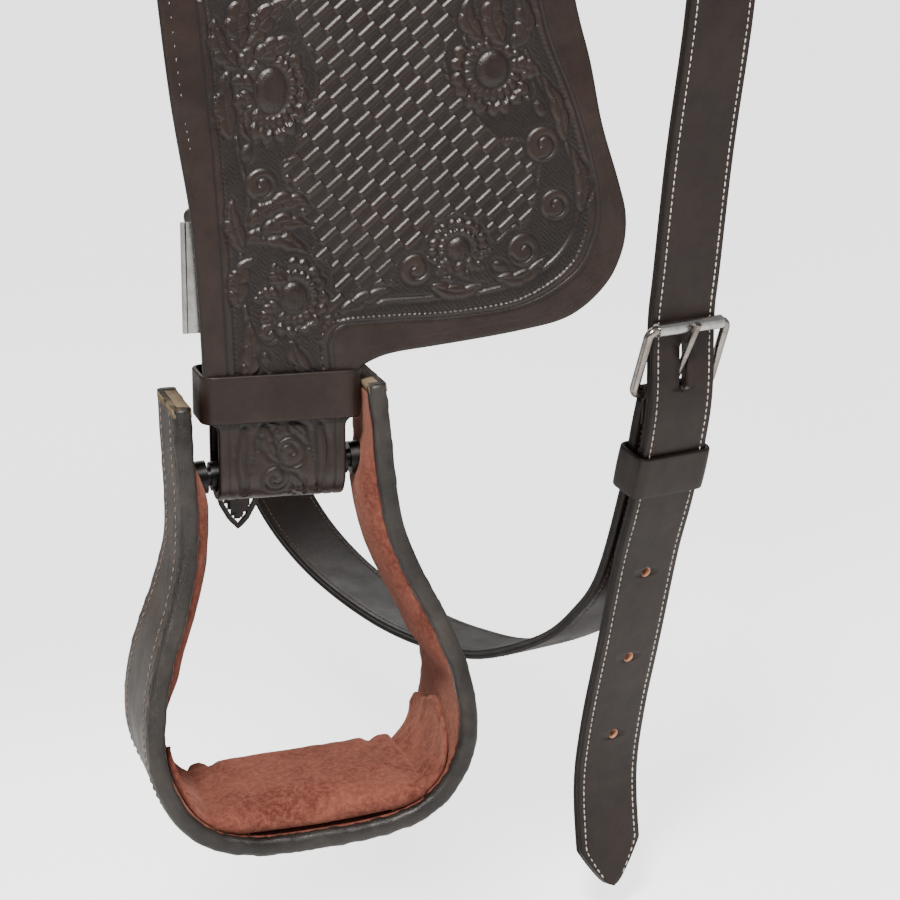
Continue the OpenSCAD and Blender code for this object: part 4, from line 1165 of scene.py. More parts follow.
def rounded(w, h, r, x0=0.0, y0=0.0, n=6):
    """Closed outline of a rectangle with round corners, its middle at x0, y0."""
    out = []
    for cx, cy, a0 in ((w / 2 - r, h / 2 - r, 0), (r - w / 2, h / 2 - r, 90), (r - w / 2, r - h / 2, 180),
                       (w / 2 - r, r - h / 2, 270)):
        for k in range(n + 1):
            a = math.radians(a0 + 90 * k / n)
            out.append((x0 + cx + r * math.cos(a), y0 + cy + r * math.sin(a)))
    return np.array(out)


def wrap_tooling(ab):
    """A scroll between border lines on the wrap's front."""
    t = Tooling(ab)
    for x in (-25.5, -20.5, 20.5, 25.5):
        t.groove([(x, 0), (x, 88)], 0.5, 0.5)
    t.groove([(-16, 17), (16, 17)], 0.4, 0.5)
    t.groove([(-16, 62), (16, 62)], 0.4, 0.5)
    for x in (-1, 1):
        t.beads(catmull([(x * 17, 20), (x * 13.5, 34), (x * 17, 48), (x * 14, 60)], 8), 2.4)
        t.leaf([(x * 18, 22), (x * 19.5, 38), (x * 18, 56)], 3.2, 0)
        t.leaf([(x * 3, 22), (x * 9, 27), (x * 12, 34)], 5, 2)
    t.curl((3.5, 36), 7, 120, 1)
    t.curl((-3.5, 49), 6, 300, 1)
    t.leaf([(-9, 22), (-7, 32), (-2, 42)], 5.5, 3)
    t.leaf([(9, 60), (7, 52), (3, 46)], 5, 3)
    return t.h, t.dark


for side, s in SIDES:
    # the strap behind the fender: its upper run follows the fender, and its lower run slants in to the
    # back of the wrap
    low_run = [(-3.25 - 2 - 2.5, -262), (-5.25, -335), (-8.5, -424), (-12.5, -460), (-21.45, -501)]
    rows = np.array(low_run[::-1])

    def back_surface(ab, s=s, rows=rows):
        lean = np.interp(ab[:, 1], rows[:, 1], rows[:, 0], right=-7.75)
        pos, nor = fender_surface(s)(ab)
        upper = pos + nor * -8.0
        x = leg_point(s, ab[:, 0], lean, ab[:, 1])
        w = smooth((ab[:, 1] + 335) / 75)[:, None]
        out = leg_dir(s, 0, 1)
        mix = out * (1 - w) + nor * w
        return x * (1 - w) + upper * w, mix / np.linalg.norm(mix, axis=1)[:, None]

    outline = rounded(leather_w, 396, 2, 0, -303)
    data = panel(outline, back_surface, 4, 2.4)
    made = parts([f"{side}_strap_top", f"{side}_strap_bend", f"{side}_strap_low"], data,
                 lambda uv, mid: np.select([uv[:, 1] > -140, uv[:, 1] > -235], [0, 1], 2))
    hang(side, s, made, M["dark"])
    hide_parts(f"{side}_stirrup_leather")
    # the wrap: down in front, round the roller, up behind
    arc = [(-wrap_mid + wrap_mid * math.cos(a), bolt_z - wrap_mid * math.sin(a))
           for a in np.radians(np.arange(0, 181, 9))]
    line = np.array([(0, leg_low - 4), (0, leg_low - 20), (0, leg_low - 36)] + arc + [
        (-2 * wrap_mid, leg_low - 36), (-2 * wrap_mid, leg_low - 3)])
    surf, length = strap_surface(s, resample(line, 1.5))
    outline = [(-36, 0.3), (36, 0.3), (36, 19.5), (31.2, 23), (30.5, 25), (30.5, length - 1),
               (-30.5, length - 1), (-30.5, 25), (-31.2, 23), (-36, 19.5)]
    data = panel(resample(outline, 1.0, closed=True), weathered(surf, 0.15, 0.05), leather_t,
                 0.7 if side == "near" else 1.3, wrap_tooling, rim=3.2, back_step=3.0)
    wrap = parts([f"{side}_leg_wrap"], data)[0]
    finish(wrap, M["tooled"], f"{side}_leg_end", replaces=[f"{side}_leg"])
    # hobble strap: a band round both runs, and its tongue end behind
    t = 2.2
    half = (leg_w / 2 + 0.4 + t / 2, (leather_t + 2 * wrap_mid + leather_t / 2 + 0.8 + t) / 2)
    y0, y1 = leather_t / 2 + 0.4 + t / 2, -2 * wrap_mid - leather_t / 2 - 0.4 - t / 2
    loop = resample(rounded(2 * half[0], y0 - y1, 6, 0, (y0 + y1) / 2), 2.0, closed=True)
    d = np.roll(loop, -1, 0) - np.roll(loop, 1, 0)
    d /= np.linalg.norm(d, axis=1)[:, None]
    path = leg_point(s, loop[:, 0], loop[:, 1], leg_low - 2 - 11.5)
    out = np.array([leg_dir(s, b, -a) for a, b in d])
    prof, edge = strap_profile(23, t, 0.8)
    hobble = sweep(f"{side}_hobble_band", path, (0, 0, 1), out, prof, edge, closed=True)
    finish(hobble, M["strap"], f"{side}_leg_end", replaces=[f"{side}_hobble_strap"])
    tail = [(-26, leg_low - 4), (-6, leg_low - 4), (-6, leg_low - 72), (-11, leg_low - 81),
            (-16, leg_low - 86),
            (-21, leg_low - 81), (-26, leg_low - 72)]

    def tail_surface(ab, s=s, y1=y1):
        bend = 1.5 * smooth((leg_low - 20 - ab[:, 1]) / 66)
        pos = leg_point(s, ab[:, 0], y1 - 2.4 - bend, ab[:, 1])
        return pos, np.broadcast_to(leg_dir(s, 0, -1), pos.shape)

    data = panel(resample(tail, 1.0, closed=True), tail_surface, 2.4, 1.6, rim=2.5, back_step=3, edge_r=0.9)
    finish(parts([f"{side}_hobble_tail"], data)[0], M["strap"], f"{side}_leg_end")
print("leather of both legs made")

# %% [markdown]
# ## Stirrups
# A bell stirrup is a bent wooden bow with leather outside, a burnished rim, and padded suede inside.
# Each layer is a section carried along the bow, as (inwards from the outer face, along the tread's depth).

# %%
BOW = [(0, -180), (30, -179), (54, -172), (69.5, -158), (78, -139), (80, -121), (77.5, -100), (71, -78),
       (61.5, -55),
       (54.5, -32), (52, -8), (51.5, 14), (50.5, 40)]


def bow_line():
    half = catmull(BOW, 8)
    return resample(np.vstack([half[:0:-1] * [-1, 1], half]), 2.0)


def half_depth(z):
    return np.interp(z, [-135, -30], [tread_depth / 2, top_depth / 2])


def stirrup_point(s, x, y, z):
    """A point of the stirrup's own frame: x across, y along the tread's depth, z up from the bolt."""
    c, n = math.cos(stirrup_lean), math.sin(stirrup_lean)
    return leg_point(s, x * c - z * n, y - wrap_mid, bolt_z + x * n + z * c)


def rough(points, amount, scale, seed=0.0):
    """Uneven height for points, from slow noise."""
    return np.array([amount * noise.noise(Vector(p) * scale + Vector((seed, 0, 0))) for p in points])


def bow_strip(name, s, section, wobble=0.0, scale=0.1, span=None):
    """Carries a closed section along the bow; section(line) gives (inwards, depth) of its points
    at each place."""
    line = bow_line()
    if span is not None:
        line = line[span(line)]
    nor = frames_2d(line)
    sec = section(line)
    n, m = sec.shape[:2]
    x = line[:, None, 0] + nor[:, None, 0] * sec[:, :, 0]
    z = line[:, None, 1] + nor[:, None, 1] * sec[:, :, 0]
    if wobble:
        flat = np.stack([x.ravel(), sec[:, :, 1].ravel(), z.ravel()], axis=1)
        w = rough(flat, wobble, scale).reshape(n, m) + rough(flat, wobble * 0.6, scale * 3.1).reshape(n, m)
        mid = sec.mean(axis=1, keepdims=True)
        away = sec - mid
        away /= np.maximum(np.linalg.norm(away, axis=2, keepdims=True), 1e-6)
        sec = sec + away * w[:, :, None]
        x = line[:, None, 0] + nor[:, None, 0] * sec[:, :, 0]
        z = line[:, None, 1] + nor[:, None, 1] * sec[:, :, 0]
    verts = stirrup_point(s, x, sec[:, :, 1], z).reshape(-1, 3)
    run = run_of(line)
    uv = np.stack([np.repeat(run, m), sec[:, :, 1].ravel()], axis=1)
    faces = capped(n, m)
    edge = np.zeros((n, m))
    edge[[0, -1]] = 1
    return outward(make(name, verts, faces, uv=uv, attrs={"edge": edge.ravel(), "tool": np.zeros(n * m)}))


def flat_section(n0, n1, inset, r=0.9, count=22, crown=None):
    """A layer from n0 to n1 inwards, inset from the rims; crown(line, across) adds to its inner face."""
    def section(line):
        out = []
        d = half_depth(line[:, 1]) - inset
        across = np.linspace(-1, 1, count)
        for k in range(count):
            out.append(np.stack([np.full(len(line), n0), across[k] * (d - r)], axis=1))
        out.append(np.stack([np.full(len(line), n0 + r), d], axis=1))
        for k in range(count)[::-1]:
            up = n1 + (crown(line, across[k]) if crown else 0)
            out.append(np.stack([up * np.ones(len(line)), across[k] * (d - r * 0.5)], axis=1))
        out.append(np.stack([np.full(len(line), n0 + r), -d], axis=1))
        return np.stack(out, axis=1)
    return section


def rim_section(side_y, wide=7.5):
    """The burnished rim on one side: a rounded bead over the layers' edges."""
    def section(line):
        d = half_depth(line[:, 1])
        out = []
        for a in np.linspace(0, 2 * np.pi, 20, endpoint=False):
            c, n = math.cos(a), math.sin(a)
            px = np.sign(c) * abs(c)**0.7 * 4.5 + 4.2
            py = np.sign(n) * abs(n)**0.8 * wide / 2
            out.append(np.stack([np.full(len(line), px), side_y * (d - wide / 2 + py + 0.4)], axis=1))
        return np.stack(out, axis=1)
    return section


def neck(line, across):
    """How far the padding stands in at the neck, and a soft puff everywhere."""
    z = line[:, 1]
    up = smooth((z + 112) / 28) * smooth((17 - z) / 30)
    puff = 1.1 * (1 - across**2) * smooth((36 - z) / 20)
    return 6.6 * up * (1 - abs(across)**3.5)**0.8 + puff


for side, s in SIDES:
    body = f"{side}_stirrup"
    cover = bow_strip(f"{side}_stirrup_outer", s, flat_section(-0.35, 2.4, 2.2), 0.45, 0.06)
    finish(cover, M["cover"], body, replaces=[f"{side}_stirrup_cover"])
    for tag, y in (("front", -1), ("back", 1)):
        rim = bow_strip(f"{side}_stirrup_rim_{tag}", s, rim_section(y), 0.55, 0.16)
        finish(rim, M["rim"], body)
    lining = bow_strip(f"{side}_stirrup_suede", s, flat_section(6.9, 8.6, 3.4, 0.7, 30, neck), 0.5, 0.05,
                       span=lambda p: p[:, 1] < 37)
    finish(lining, M["suede"], body, replaces=[f"{side}_stirrup_lining"])
    # raw layered tops of the ears
    for tag, x in (("a", -1), ("b", 1)):
        top = bow_strip(f"{side}_ear_top_{tag}", s, flat_section(-0.5, 8.4, 0.6, 1.2, 12), 0.5, 0.2,
                        span=lambda p, x=x: (p[:, 1] > 35) & (p[:, 0] * x > 0))
        finish(top, M["raw"], body)
    # stitches through the outer leather, beside both rims
    line = resample(bow_line(), 4.2)
    line = line[line[:, 1] < 36]
    nor = frames_2d(line)
    seams = []
    for y in (-1, 1):
        d = y * (half_depth(line[:, 1]) - 11.5)
        p = line - nor * 0.55
        pts = stirrup_point(s, p[:, 0], d, p[:, 1])
        up = stirrup_point(s, p[:, 0] - nor[:, 0], d, p[:, 1] - nor[:, 1]) - pts
        seams.append((pts, up))
    stitches(f"{side}_stirrup_stitches", seams, body, length=2.7, thick=0.7, material="brown_thread", seed=3)
print("stirrup shells made")

# %% [markdown]
# ### The padded treads
# The pad is a bag of suede. A short cloth simulation fills it, and its ends fold up into gussets.

# %%
def tread_bag(side, s):
    """A closed bag in the tread's shape, filled by pressure in a cloth simulation."""
    floor = -171.4
    outline = [(-50, floor + 5.5), (-40, floor + 4.4), (0, floor + 3.4), (40, floor + 4.4),
               (50, floor + 5.5), (55, floor + 11),
               (51, floor + 15.5), (0, floor + 15.0), (-51, floor + 15.5), (-55, floor + 11)]
    ring = resample(outline, 6.0, closed=True)
    depth = np.linspace(-tread_depth / 2 + 2.5, tread_depth / 2 - 2.5, 15)
    verts = np.array([[x, y, z] for y in depth for x, z in ring])
    m = len(ring)
    faces = capped(len(depth), m)
    obj = outward(make(f"{side}_tread_suede", verts, faces))
    bpy.context.view_layer.objects.active = obj
    remesh = obj.modifiers.new("Remesh", "REMESH")
    remesh.mode = "VOXEL"
    remesh.voxel_size = 0.0045
    cloth = obj.modifiers.new("Cloth", "CLOTH")
    cs = cloth.settings
    cs.use_pressure = True
    cs.uniform_pressure_force = 4.0
    cs.tension_stiffness = cs.compression_stiffness = 25
    cs.shear_stiffness = 10
    cs.bending_stiffness = 0.6
    cs.effector_weights.gravity = 0
    cs.shrink_min = -0.03
    cloth.point_cache.frame_start, cloth.point_cache.frame_end = 1, 16
    for f in range(1, 17):
        bpy.context.scene.frame_set(f)
        obj.evaluated_get(bpy.context.evaluated_depsgraph_get())
    sub = obj.modifiers.new("Smooth", "SUBSURF")
    sub.levels = 1
    me = baked(obj).data
    bpy.context.scene.frame_set(1)
    co = np.empty(len(me.vertices) * 3)
    me.vertices.foreach_get("co", co)
    co = co.reshape(-1, 3) / MM
    # the underside lies on the lining
    x, y, z = co.T
    base = z.min()
    z = np.where(z < floor + 8, floor + 0.3 + (z - base) * 7.7 / (floor + 8 - base), z)
    # folded creases that fan from the corners, a flat middle, and a dip along the front fold
    top = smooth((z - floor - 9) / 5)
    fold = (np.exp(-((np.abs(x) - 44 - 0.10 * y) / 2.6)**2)
            + 0.8 * np.exp(-((np.abs(x) - 34 + 0.22 * y) / 2.2)**2))
    z = z - 1.6 * fold * top
    z = z + top * (rough(co, 0.8, 0.05) + rough(co, 0.4, 0.16, 5)) - top * 1.4 * np.exp(-((y + 33) / 3.0)**2)
    low = np.array([-58, -tread_depth / 2 + 0.5, floor + 0.3])
    high = np.array([58, tread_depth / 2 - 0.5, floor + 19])
    p = np.clip(np.stack([x, y, z], axis=1), low, high)
    p = stirrup_point(s, p[:, 0], p[:, 1], p[:, 2])
    me.vertices.foreach_set("co", (p * MM).ravel())
    if s < 0:
        me.flip_normals()
    me.update()
    finish(obj, M["suede"], f"{side}_stirrup", replaces=[f"{side}_tread_pad"])
    outward(obj)
    for poly in obj.data.polygons:
        poly.use_smooth = True
    return obj


def side_flap(name, s, x):
    """The tread suede's end, turned up against the inside of the stirrup, with a wavy top and
    folded corners."""
    line = bow_line()
    nor = frames_2d(line)
    keep = (line[:, 0] * x > 34) & (line[:, 1] < -112)
    line, nor = line[keep], nor[keep]
    order = np.argsort(np.abs(line[:, 0]) * 0.2 + line[:, 1])
    line, nor = line[order], nor[order]
    run = run_of(line)
    n, m = 26, 41
    sheet = {}
    for face, depth in ((0, 9.0), (1, 11.0)):
        rows = []
        for i in range(n):
            v = i / (n - 1)
            for j in range(m):
                w = 2 * j / (m - 1) - 1
                top = run[-1] * (0.80 + 0.05 * math.sin(5.2 * w + x) - 0.22 * abs(w)**5)
                a = 2 + (top - 2) * v
                px, pz = np.interp(a, run, line[:, 0]), np.interp(a, run, line[:, 1])
                nx, nz = np.interp(a, run, nor[:, 0]), np.interp(a, run, nor[:, 1])
                fold = 2.0 * math.exp(-((abs(w) - 0.93 + 0.45 * v) / 0.07)**2) * (1 - v)
                fold += 0.9 * math.exp(-((abs(w) - 0.62 + 0.25 * v) / 0.06)**2)
                curl = 2.2 * v**7
                swell = 2.6 * (1 - v)**2 * (1 - w**8)
                y = w * (half_depth(pz) - 5.6) * (1 - 0.02 * v)
                wave = 0.7 * noise.noise(Vector((a * 0.07, y * 0.06, x + s)))
                d = depth + (0 if face == 0 else fold + swell + wave) + curl
                rows.append((px + nx * d, y, pz + nz * d))
        sheet[face] = np.array(rows)
    verts = np.vstack([stirrup_point(s, *sheet[0].T), stirrup_point(s, *sheet[1].T)])
    faces = list(quads(n, m)) + list(quads(n, m, start=n * m, flip=True))
    border = list(range(m)) + [k * m + m - 1 for k in range(1, n)]
    border += [(n - 1) * m + j for j in range(m - 2, -1, -1)] + [k * m for k in range(n - 2, 0, -1)]
    for a, b in zip(border, border[1:] + border[:1]):
        faces.append([b, a, a + n * m, b + n * m])
    return outward(make(name, verts, faces))


for side, s in SIDES:
    tread_bag(side, s)
    for x, a in ((-1, "a"), (1, "b")):
        finish(side_flap(f"{side}_tread_flap_{a}", s, x), M["suede"], f"{side}_stirrup")
print("treads filled")

# %% [markdown]
# ## Flank cinch
# Each billet hangs from its dee, runs over the buckle's bars and through a keeper, and ends in a point below.
# It is two layers sewn together, with white thread near both edges.

# %%
DEE_ANGLE = 73
dee_r = skirt_out + wire_r + 0.05 + 3.4
dee_mid = np.array([dee_r * math.sin(math.radians(DEE_ANGLE)),
                    axis_z + dee_r * math.cos(math.radians(DEE_ANGLE))])
dee_low = dee_mid + 40 * np.array([math.cos(math.radians(DEE_ANGLE)), -math.sin(math.radians(DEE_ANGLE))])
bar_top, bar_hinge = np.array([251.0, -520.0]), np.array([237.0, -557.0])
buckle_dir = (bar_top - bar_hinge) / np.linalg.norm(bar_top - bar_hinge)
buckle_out = np.array([buckle_dir[1], -buckle_dir[0]])
behind_roller = bar_top - buckle_out * (wire_r + 1.2 + flank_t / 2 + 0.5)
over_hinge = bar_hinge + buckle_out * (wire_r + 2 + flank_t / 2 + 0.5)
BILLET = catmull([dee_low + [0, -8.4], dee_low + [-2, -82.2], (271, -344), (257, -424), (248, -490),
                  behind_roller,
                  over_hinge, (239, -590), (229, -625), (218, -657), (204, -710), (190, -762), (184, -806),
                  (191, -866)], 5)
HOLES = [46, 51, 56]
EYE = [(266.4, -246), (265.6, -228), (265.7, -208), (268.3, -201.4), (274.7, -198.8), (281.1, -201.4),
       (283.7, -207.8),
       (282.6, -217), (278.5, -232), (275.0, -256)]
STRAP = catmull([bar_hinge + [-0.6, -3], (231, -580), (224, -612), (206, -662), (186, -696), (158, -720),
                 (120, -738),
                 (75, -750), (20, -757), (-33, -756), (-86, -748), (-147, -722), (-180, -697), (-203, -668),
                 (-224, -610),
                 (-231, -580), (0.6 - bar_hinge[0], bar_hinge[1] - 3)], 6)


def flank_points(s, line, across):
    p = np.array(line, float)
    return np.stack([np.full(len(p), flank_x) + across, s * p[:, 0], p[:, 1]], axis=1)


def punch(obj, places, r, s, long=0.0):
    """Cuts round holes, or a slot, through a strap at (middle, outward) places."""
    bm = bmesh.new()
    for mid, out in places:
        y = Vector((0, s * out[0], out[1])).normalized()
        z = Vector((1, 0, 0)).cross(y)
        ring = []
        for k in range(32):
            a = 2 * math.pi * k / 32
            h = long * (1 if math.sin(a) >= 0 else -1)
            ring.append(Vector((1, 0, 0)) * r * math.cos(a) + z * (r * math.sin(a) + h))
        c = Vector((flank_x, s * mid[0], mid[1]))
        lo = [bm.verts.new((c + v - y * 12) * MM) for v in ring]
        hi = [bm.verts.new((c + v + y * 12) * MM) for v in ring]
        for k in range(32):
            bm.faces.new((lo[k], lo[(k + 1) % 32], hi[(k + 1) % 32], hi[k]))
        bm.faces.new(lo[::-1])
        bm.faces.new(hi)
    bmesh.ops.recalc_face_normals(bm, faces=bm.faces)
    me = bpy.data.meshes.new("punch")
    bm.to_mesh(me)
    bm.free()
    tool = bpy.data.objects.new("punch", me)
    bpy.context.collection.objects.link(tool)
    mod = obj.modifiers.new("Punch", "BOOLEAN")
    mod.object, mod.operation, mod.solver = tool, "DIFFERENCE", "EXACT"
    baked(obj)
    bpy.data.objects.remove(tool)
    return obj


for side, s in SIDES:
    # the off billet is the short one: it is buckled once and has no free holes
    last = len(BILLET) if side == "near" else 44
    line = resample(np.vstack([catmull(EYE, 6), BILLET[4:last]]), 1.6)
    run = run_of(line)
    nor = frames_2d(line)
    left = run[-1] - run
    taper = np.clip(np.sqrt(np.clip(left / 25, 0, 1)) * 0.55 + np.clip(left / 25, 0, 1) * 0.45, 0.02, 1)
    narrow = 1 - 0.11 * smooth((128 - run) / 25)
    width = taper * narrow
    prof, edge = strap_profile(flank_w, flank_t, 1.2, groove=4.0, crown=0.35, seam=True)
    prof = prof * [1, s] if s > 0 else prof
    out3 = np.stack([np.zeros(len(line)), s * nor[:, 0], nor[:, 1]], axis=1)
    billet = sweep(f"{side}_billet_strap", flank_points(s, line, 0), (1, 0, 0), out3, prof, edge, width=width)
    places = []
    grad = np.gradient(BILLET, axis=0)
    for k in HOLES + [28]:
        d = grad[k] / np.linalg.norm(grad[k])
        places.append((BILLET[k], np.array([-d[1], d[0]])))
    if side == "near":
        punch(billet, places[:3], 3.1, s)
    punch(billet, places[3:], 3.2, s, long=10.5)
    finish(billet, M["strap"], "flank", replaces=[f"{side}_billet"])
    # thread in both grooves, front and back, and across the layers under the dee
    seams = []
    sl = resample(line, 3.75)
    srun = run_of(sl)
    sn = frames_2d(sl)
    sw = np.interp(srun, run, width)
    keep = (srun > 62) & (srun < run[-1] - 4.5)
    for a in (-1, 1):
        for face in (-1, 1):
            across = a * (flank_w / 2 - 4.0) * sw
            pts = flank_points(s, sl + sn * face * (flank_t / 2 - 0.05), across)[keep]
            up = np.stack([np.zeros(len(sl)), s * sn[:, 0] * face, sn[:, 1] * face], axis=1)[keep]
            seams.append((pts, up))
    for z0 in (56, 61):
        k = int(np.argmin(np.abs(srun - z0)))
        for face in (-1, 1):
            xs = np.arange(-17, 17.1, 3.75)
            base = flank_points(s, np.repeat(sl[k:k + 1] + sn[k] * face * (flank_t / 2 - 0.05), len(xs),
                                             axis=0), xs)
            seams.append((base, (0, s * sn[k, 0] * face, sn[k, 1] * face)))
    stitches(f"{side}_billet_stitches", seams, "flank", length=3.0, thick=0.95, seed=11 + s)
    # bright rings inside the punched holes
    for i, (mid, out) in enumerate(places[:3] if side == "near" else []):
        ang = np.linspace(0, 2 * np.pi, 28, endpoint=False)
        y = np.array([0, s * out[0], out[1]])
        z = np.cross([1, 0, 0], y)
        c = np.array([flank_x, s * mid[0], mid[1]])
        rows = [(3.3, -2.9), (3.0, -3.05), (2.55, -2.6), (2.45, 0), (2.55, 2.6), (3.0, 3.05), (3.3, 2.9)]
        spokes = np.outer(np.cos(ang), [1, 0, 0]) + np.outer(np.sin(ang), z)
        verts = np.vstack([c + y * h + r * spokes for r, h in rows])
        ring = outward(make(f"{side}_hole_ring_{i + 1}", verts,
                            quads(len(rows), 28, wrap_m=True, wrap_n=True)))
        finish(ring, M["copper"], "flank")
    # keeper: a folded loop of thin leather, set across the strap
    d = BILLET[36] - BILLET[38]
    d /= np.linalg.norm(d)
    out = np.array([d[1], -d[0]]) * (1 if d[1] > 0 else -1)
    c = BILLET[37]
    t = 2.6
    wide, deep0, deep1 = flank_w / 2 + 1 + t / 2, -15 - t / 2, flank_t / 2 + 0.8 + t / 2
    loop = resample(rounded(2 * wide, deep1 - deep0, 4.5, 0, (deep0 + deep1) / 2), 1.6, closed=True)
    dd = np.roll(loop, -1, 0) - np.roll(loop, 1, 0)
    dd /= np.linalg.norm(dd, axis=1)[:, None]
    yz = c + loop[:, 1:] * out
    path = np.stack([flank_x + loop[:, 0], s * yz[:, 0], yz[:, 1]], axis=1)
    o3 = np.stack([dd[:, 1], s * -dd[:, 0] * out[0], -dd[:, 0] * out[1]], axis=1)
    prof, edge = strap_profile(25, t, 0.9, crown=0.3)
    keeper = sweep(f"{side}_keeper", path, (0, s * d[0], d[1]), o3, prof, edge, closed=True)
    finish(keeper, M["strap"], "flank")
    # the strap's end folds round the buckle's hinge bar in two straps, beside the tongue
    for x, tag in ((-1, "a"), (1, "b")):
        ang = np.radians(np.arange(-60, 241, 12))
        arc = bar_hinge + np.stack([3.75 * np.cos(ang), 3.75 * np.sin(ang)], axis=1)
        arc = np.vstack([arc[0] + [-1.0, -14], arc[0] + [-0.2, -7], arc, arc[-1] + [-2.2, -7],
                         arc[-1] + [-3.8, -14]])
        arc = resample(catmull(arc, 2), 1.0)
        fn = frames_2d(arc)
        prof, edge = strap_profile(17.5, 1.8, 0.6)
        path = flank_points(s, arc, x * 12.9)
        fold = sweep(f"{side}_buckle_fold_{tag}", path, (1, 0, 0),
                     np.stack([np.zeros(len(arc)), s * fn[:, 0], fn[:, 1]], axis=1), prof, edge)
        finish(fold, M["strap"], "flank")

line = resample(STRAP, 3.0)
nor = frames_2d(line)
out3 = np.stack([np.zeros(len(line)), nor[:, 0], nor[:, 1]], axis=1)
prof, edge = strap_profile(flank_w, flank_t, 1.2, groove=4.0, crown=0.3, seam=True)
belly = sweep("flank_belly_strap", flank_points(1, line, 0), (1, 0, 0), out3, prof, edge)
finish(belly, M["strap"], "flank", replaces=["flank_strap"])
sl = resample(STRAP, 3.9)[3:-3]
sn = frames_2d(sl)
seams = []
for a in (-1, 1):
    for face in (-1, 1):
        seams.append((flank_points(1, sl + sn * face * (flank_t / 2 - 0.05), a * (flank_w / 2 - 4.0)),
                      np.stack([np.zeros(len(sl)), sn[:, 0] * face, sn[:, 1] * face], axis=1)))
stitches("belly_strap_stitches", seams, "flank", length=2.9, thick=0.8, material="brown_thread", seed=21)
print("flank cinch made")

# %% [markdown]
# ## The saddle's body
# Skirts, fleece, jockeys and rigging are leather laid on the round back. Each one is cut to an outline
# in the side view and wrapped, with a stitched line near its edge.

# %%
def back_surface_at(r, s, wave=0.25):
    """Surface of radius r round the back; a is x, b is the angle down the side times 5 mm."""
    def surf(ab):
        x, ang = ab[:, 0], ab[:, 1] / r
        nor = np.stack([np.zeros(len(x)), s * np.sin(ang), np.cos(ang)], axis=1)
        pos = nor * r + [0, 0, axis_z]
        pos[:, 0] = x
        return pos, nor
    return weathered(surf, wave, 0.011, 0.2 * s)


def arc_of(r, z):
    """Length round the back from its top to height z."""
    return r * np.arccos(np.clip((z - axis_z) / r, -1, 1))


def inset(outline, d):
    """An outline moved inwards by d."""
    ring = resample(outline, 4.0, closed=True)
    area = 0.5 * np.sum(ring[:, 0] * np.roll(ring[:, 1], -1) - np.roll(ring[:, 0], -1) * ring[:, 1])
    ring = ring if area > 0 else ring[::-1]
    t = np.roll(ring, -1, 0) - np.roll(ring, 1, 0)
    t /= np.linalg.norm(t, axis=1)[:, None]
    return ring + np.stack([-t[:, 1], t[:, 0]], axis=1) * d


def edge_seam(outline, surf, d, level, pitch=4.4):
    """Stitch places and normals on a surface, d inside an outline."""
    line = seam_points(inset(outline, d), pitch, True)
    pos, nor = surf(line)
    return pos + nor * level, nor


def edge_tooling(outline):
    """A creased line and a row of stamps that follow an outline."""
    def height(ab):
        t = Tooling(ab)
        sd = signed_distance(ab, resample(outline, 5, closed=True))
        # each cut also gets painted shade through t.dark
        for d, depth in ((7.5, 0.5), (16.0, 0.4)):
            cut = np.exp(-((sd + d) / 0.8)**2)
            t.h -= depth * cut
            t.dark = np.maximum(t.dark, 0.6 * cut)
        run = ab[:, 0] * 0.9 + ab[:, 1] * 0.7
        scallop = np.exp(-((sd + 11.7 + 1.6 * np.abs(np.sin(run / 3.4))) / 0.9)**2)
        t.h -= 0.5 * scallop
        t.dark = np.maximum(t.dark, 0.6 * scallop)
        return t.h, t.dark
    return height


def side_outline(r, x0, x1, top_ang, low_z, corner, tops=4.0):
    """A rectangle with round lower corners, as (x, arc length) on the surface of radius r."""
    a0 = r * math.radians(top_ang)
    pts = [(x0, a0 + tops), (x0 + tops, a0), (x1 - tops, a0), (x1, a0 + tops)]
    for k in range(13):
        t = math.radians(90 * k / 12)
        z = low_z + corner - corner * math.sin(t)
        pts.append((x1 - corner + corner * math.cos(t), float(arc_of(r, z))))
    for k in range(13):
        t = math.radians(90 * k / 12)
        z = low_z + corner - corner * math.cos(t)
        pts.append((x0 + corner - corner * math.sin(t), float(arc_of(r, z))))
    return resample(pts, 4.0, closed=True)


SKIRT_FRONT, SKIRT_REAR, SKIRT_TOP_ANGLE, SKIRT_LOW_ANGLE, SKIRT_CORNER = -285, 400, 10, 79, 95
# name, front, rear, top angle, lower edge, corner radius
JOCKEYS = (("front_jockey", -262, -118, 38, -88, 30), ("rear_jockey", 219, 388, 0.4, -90, 60))
FRONT_TAB_X, TAB_W, RIVET_ANGLE = -205, 44, 64

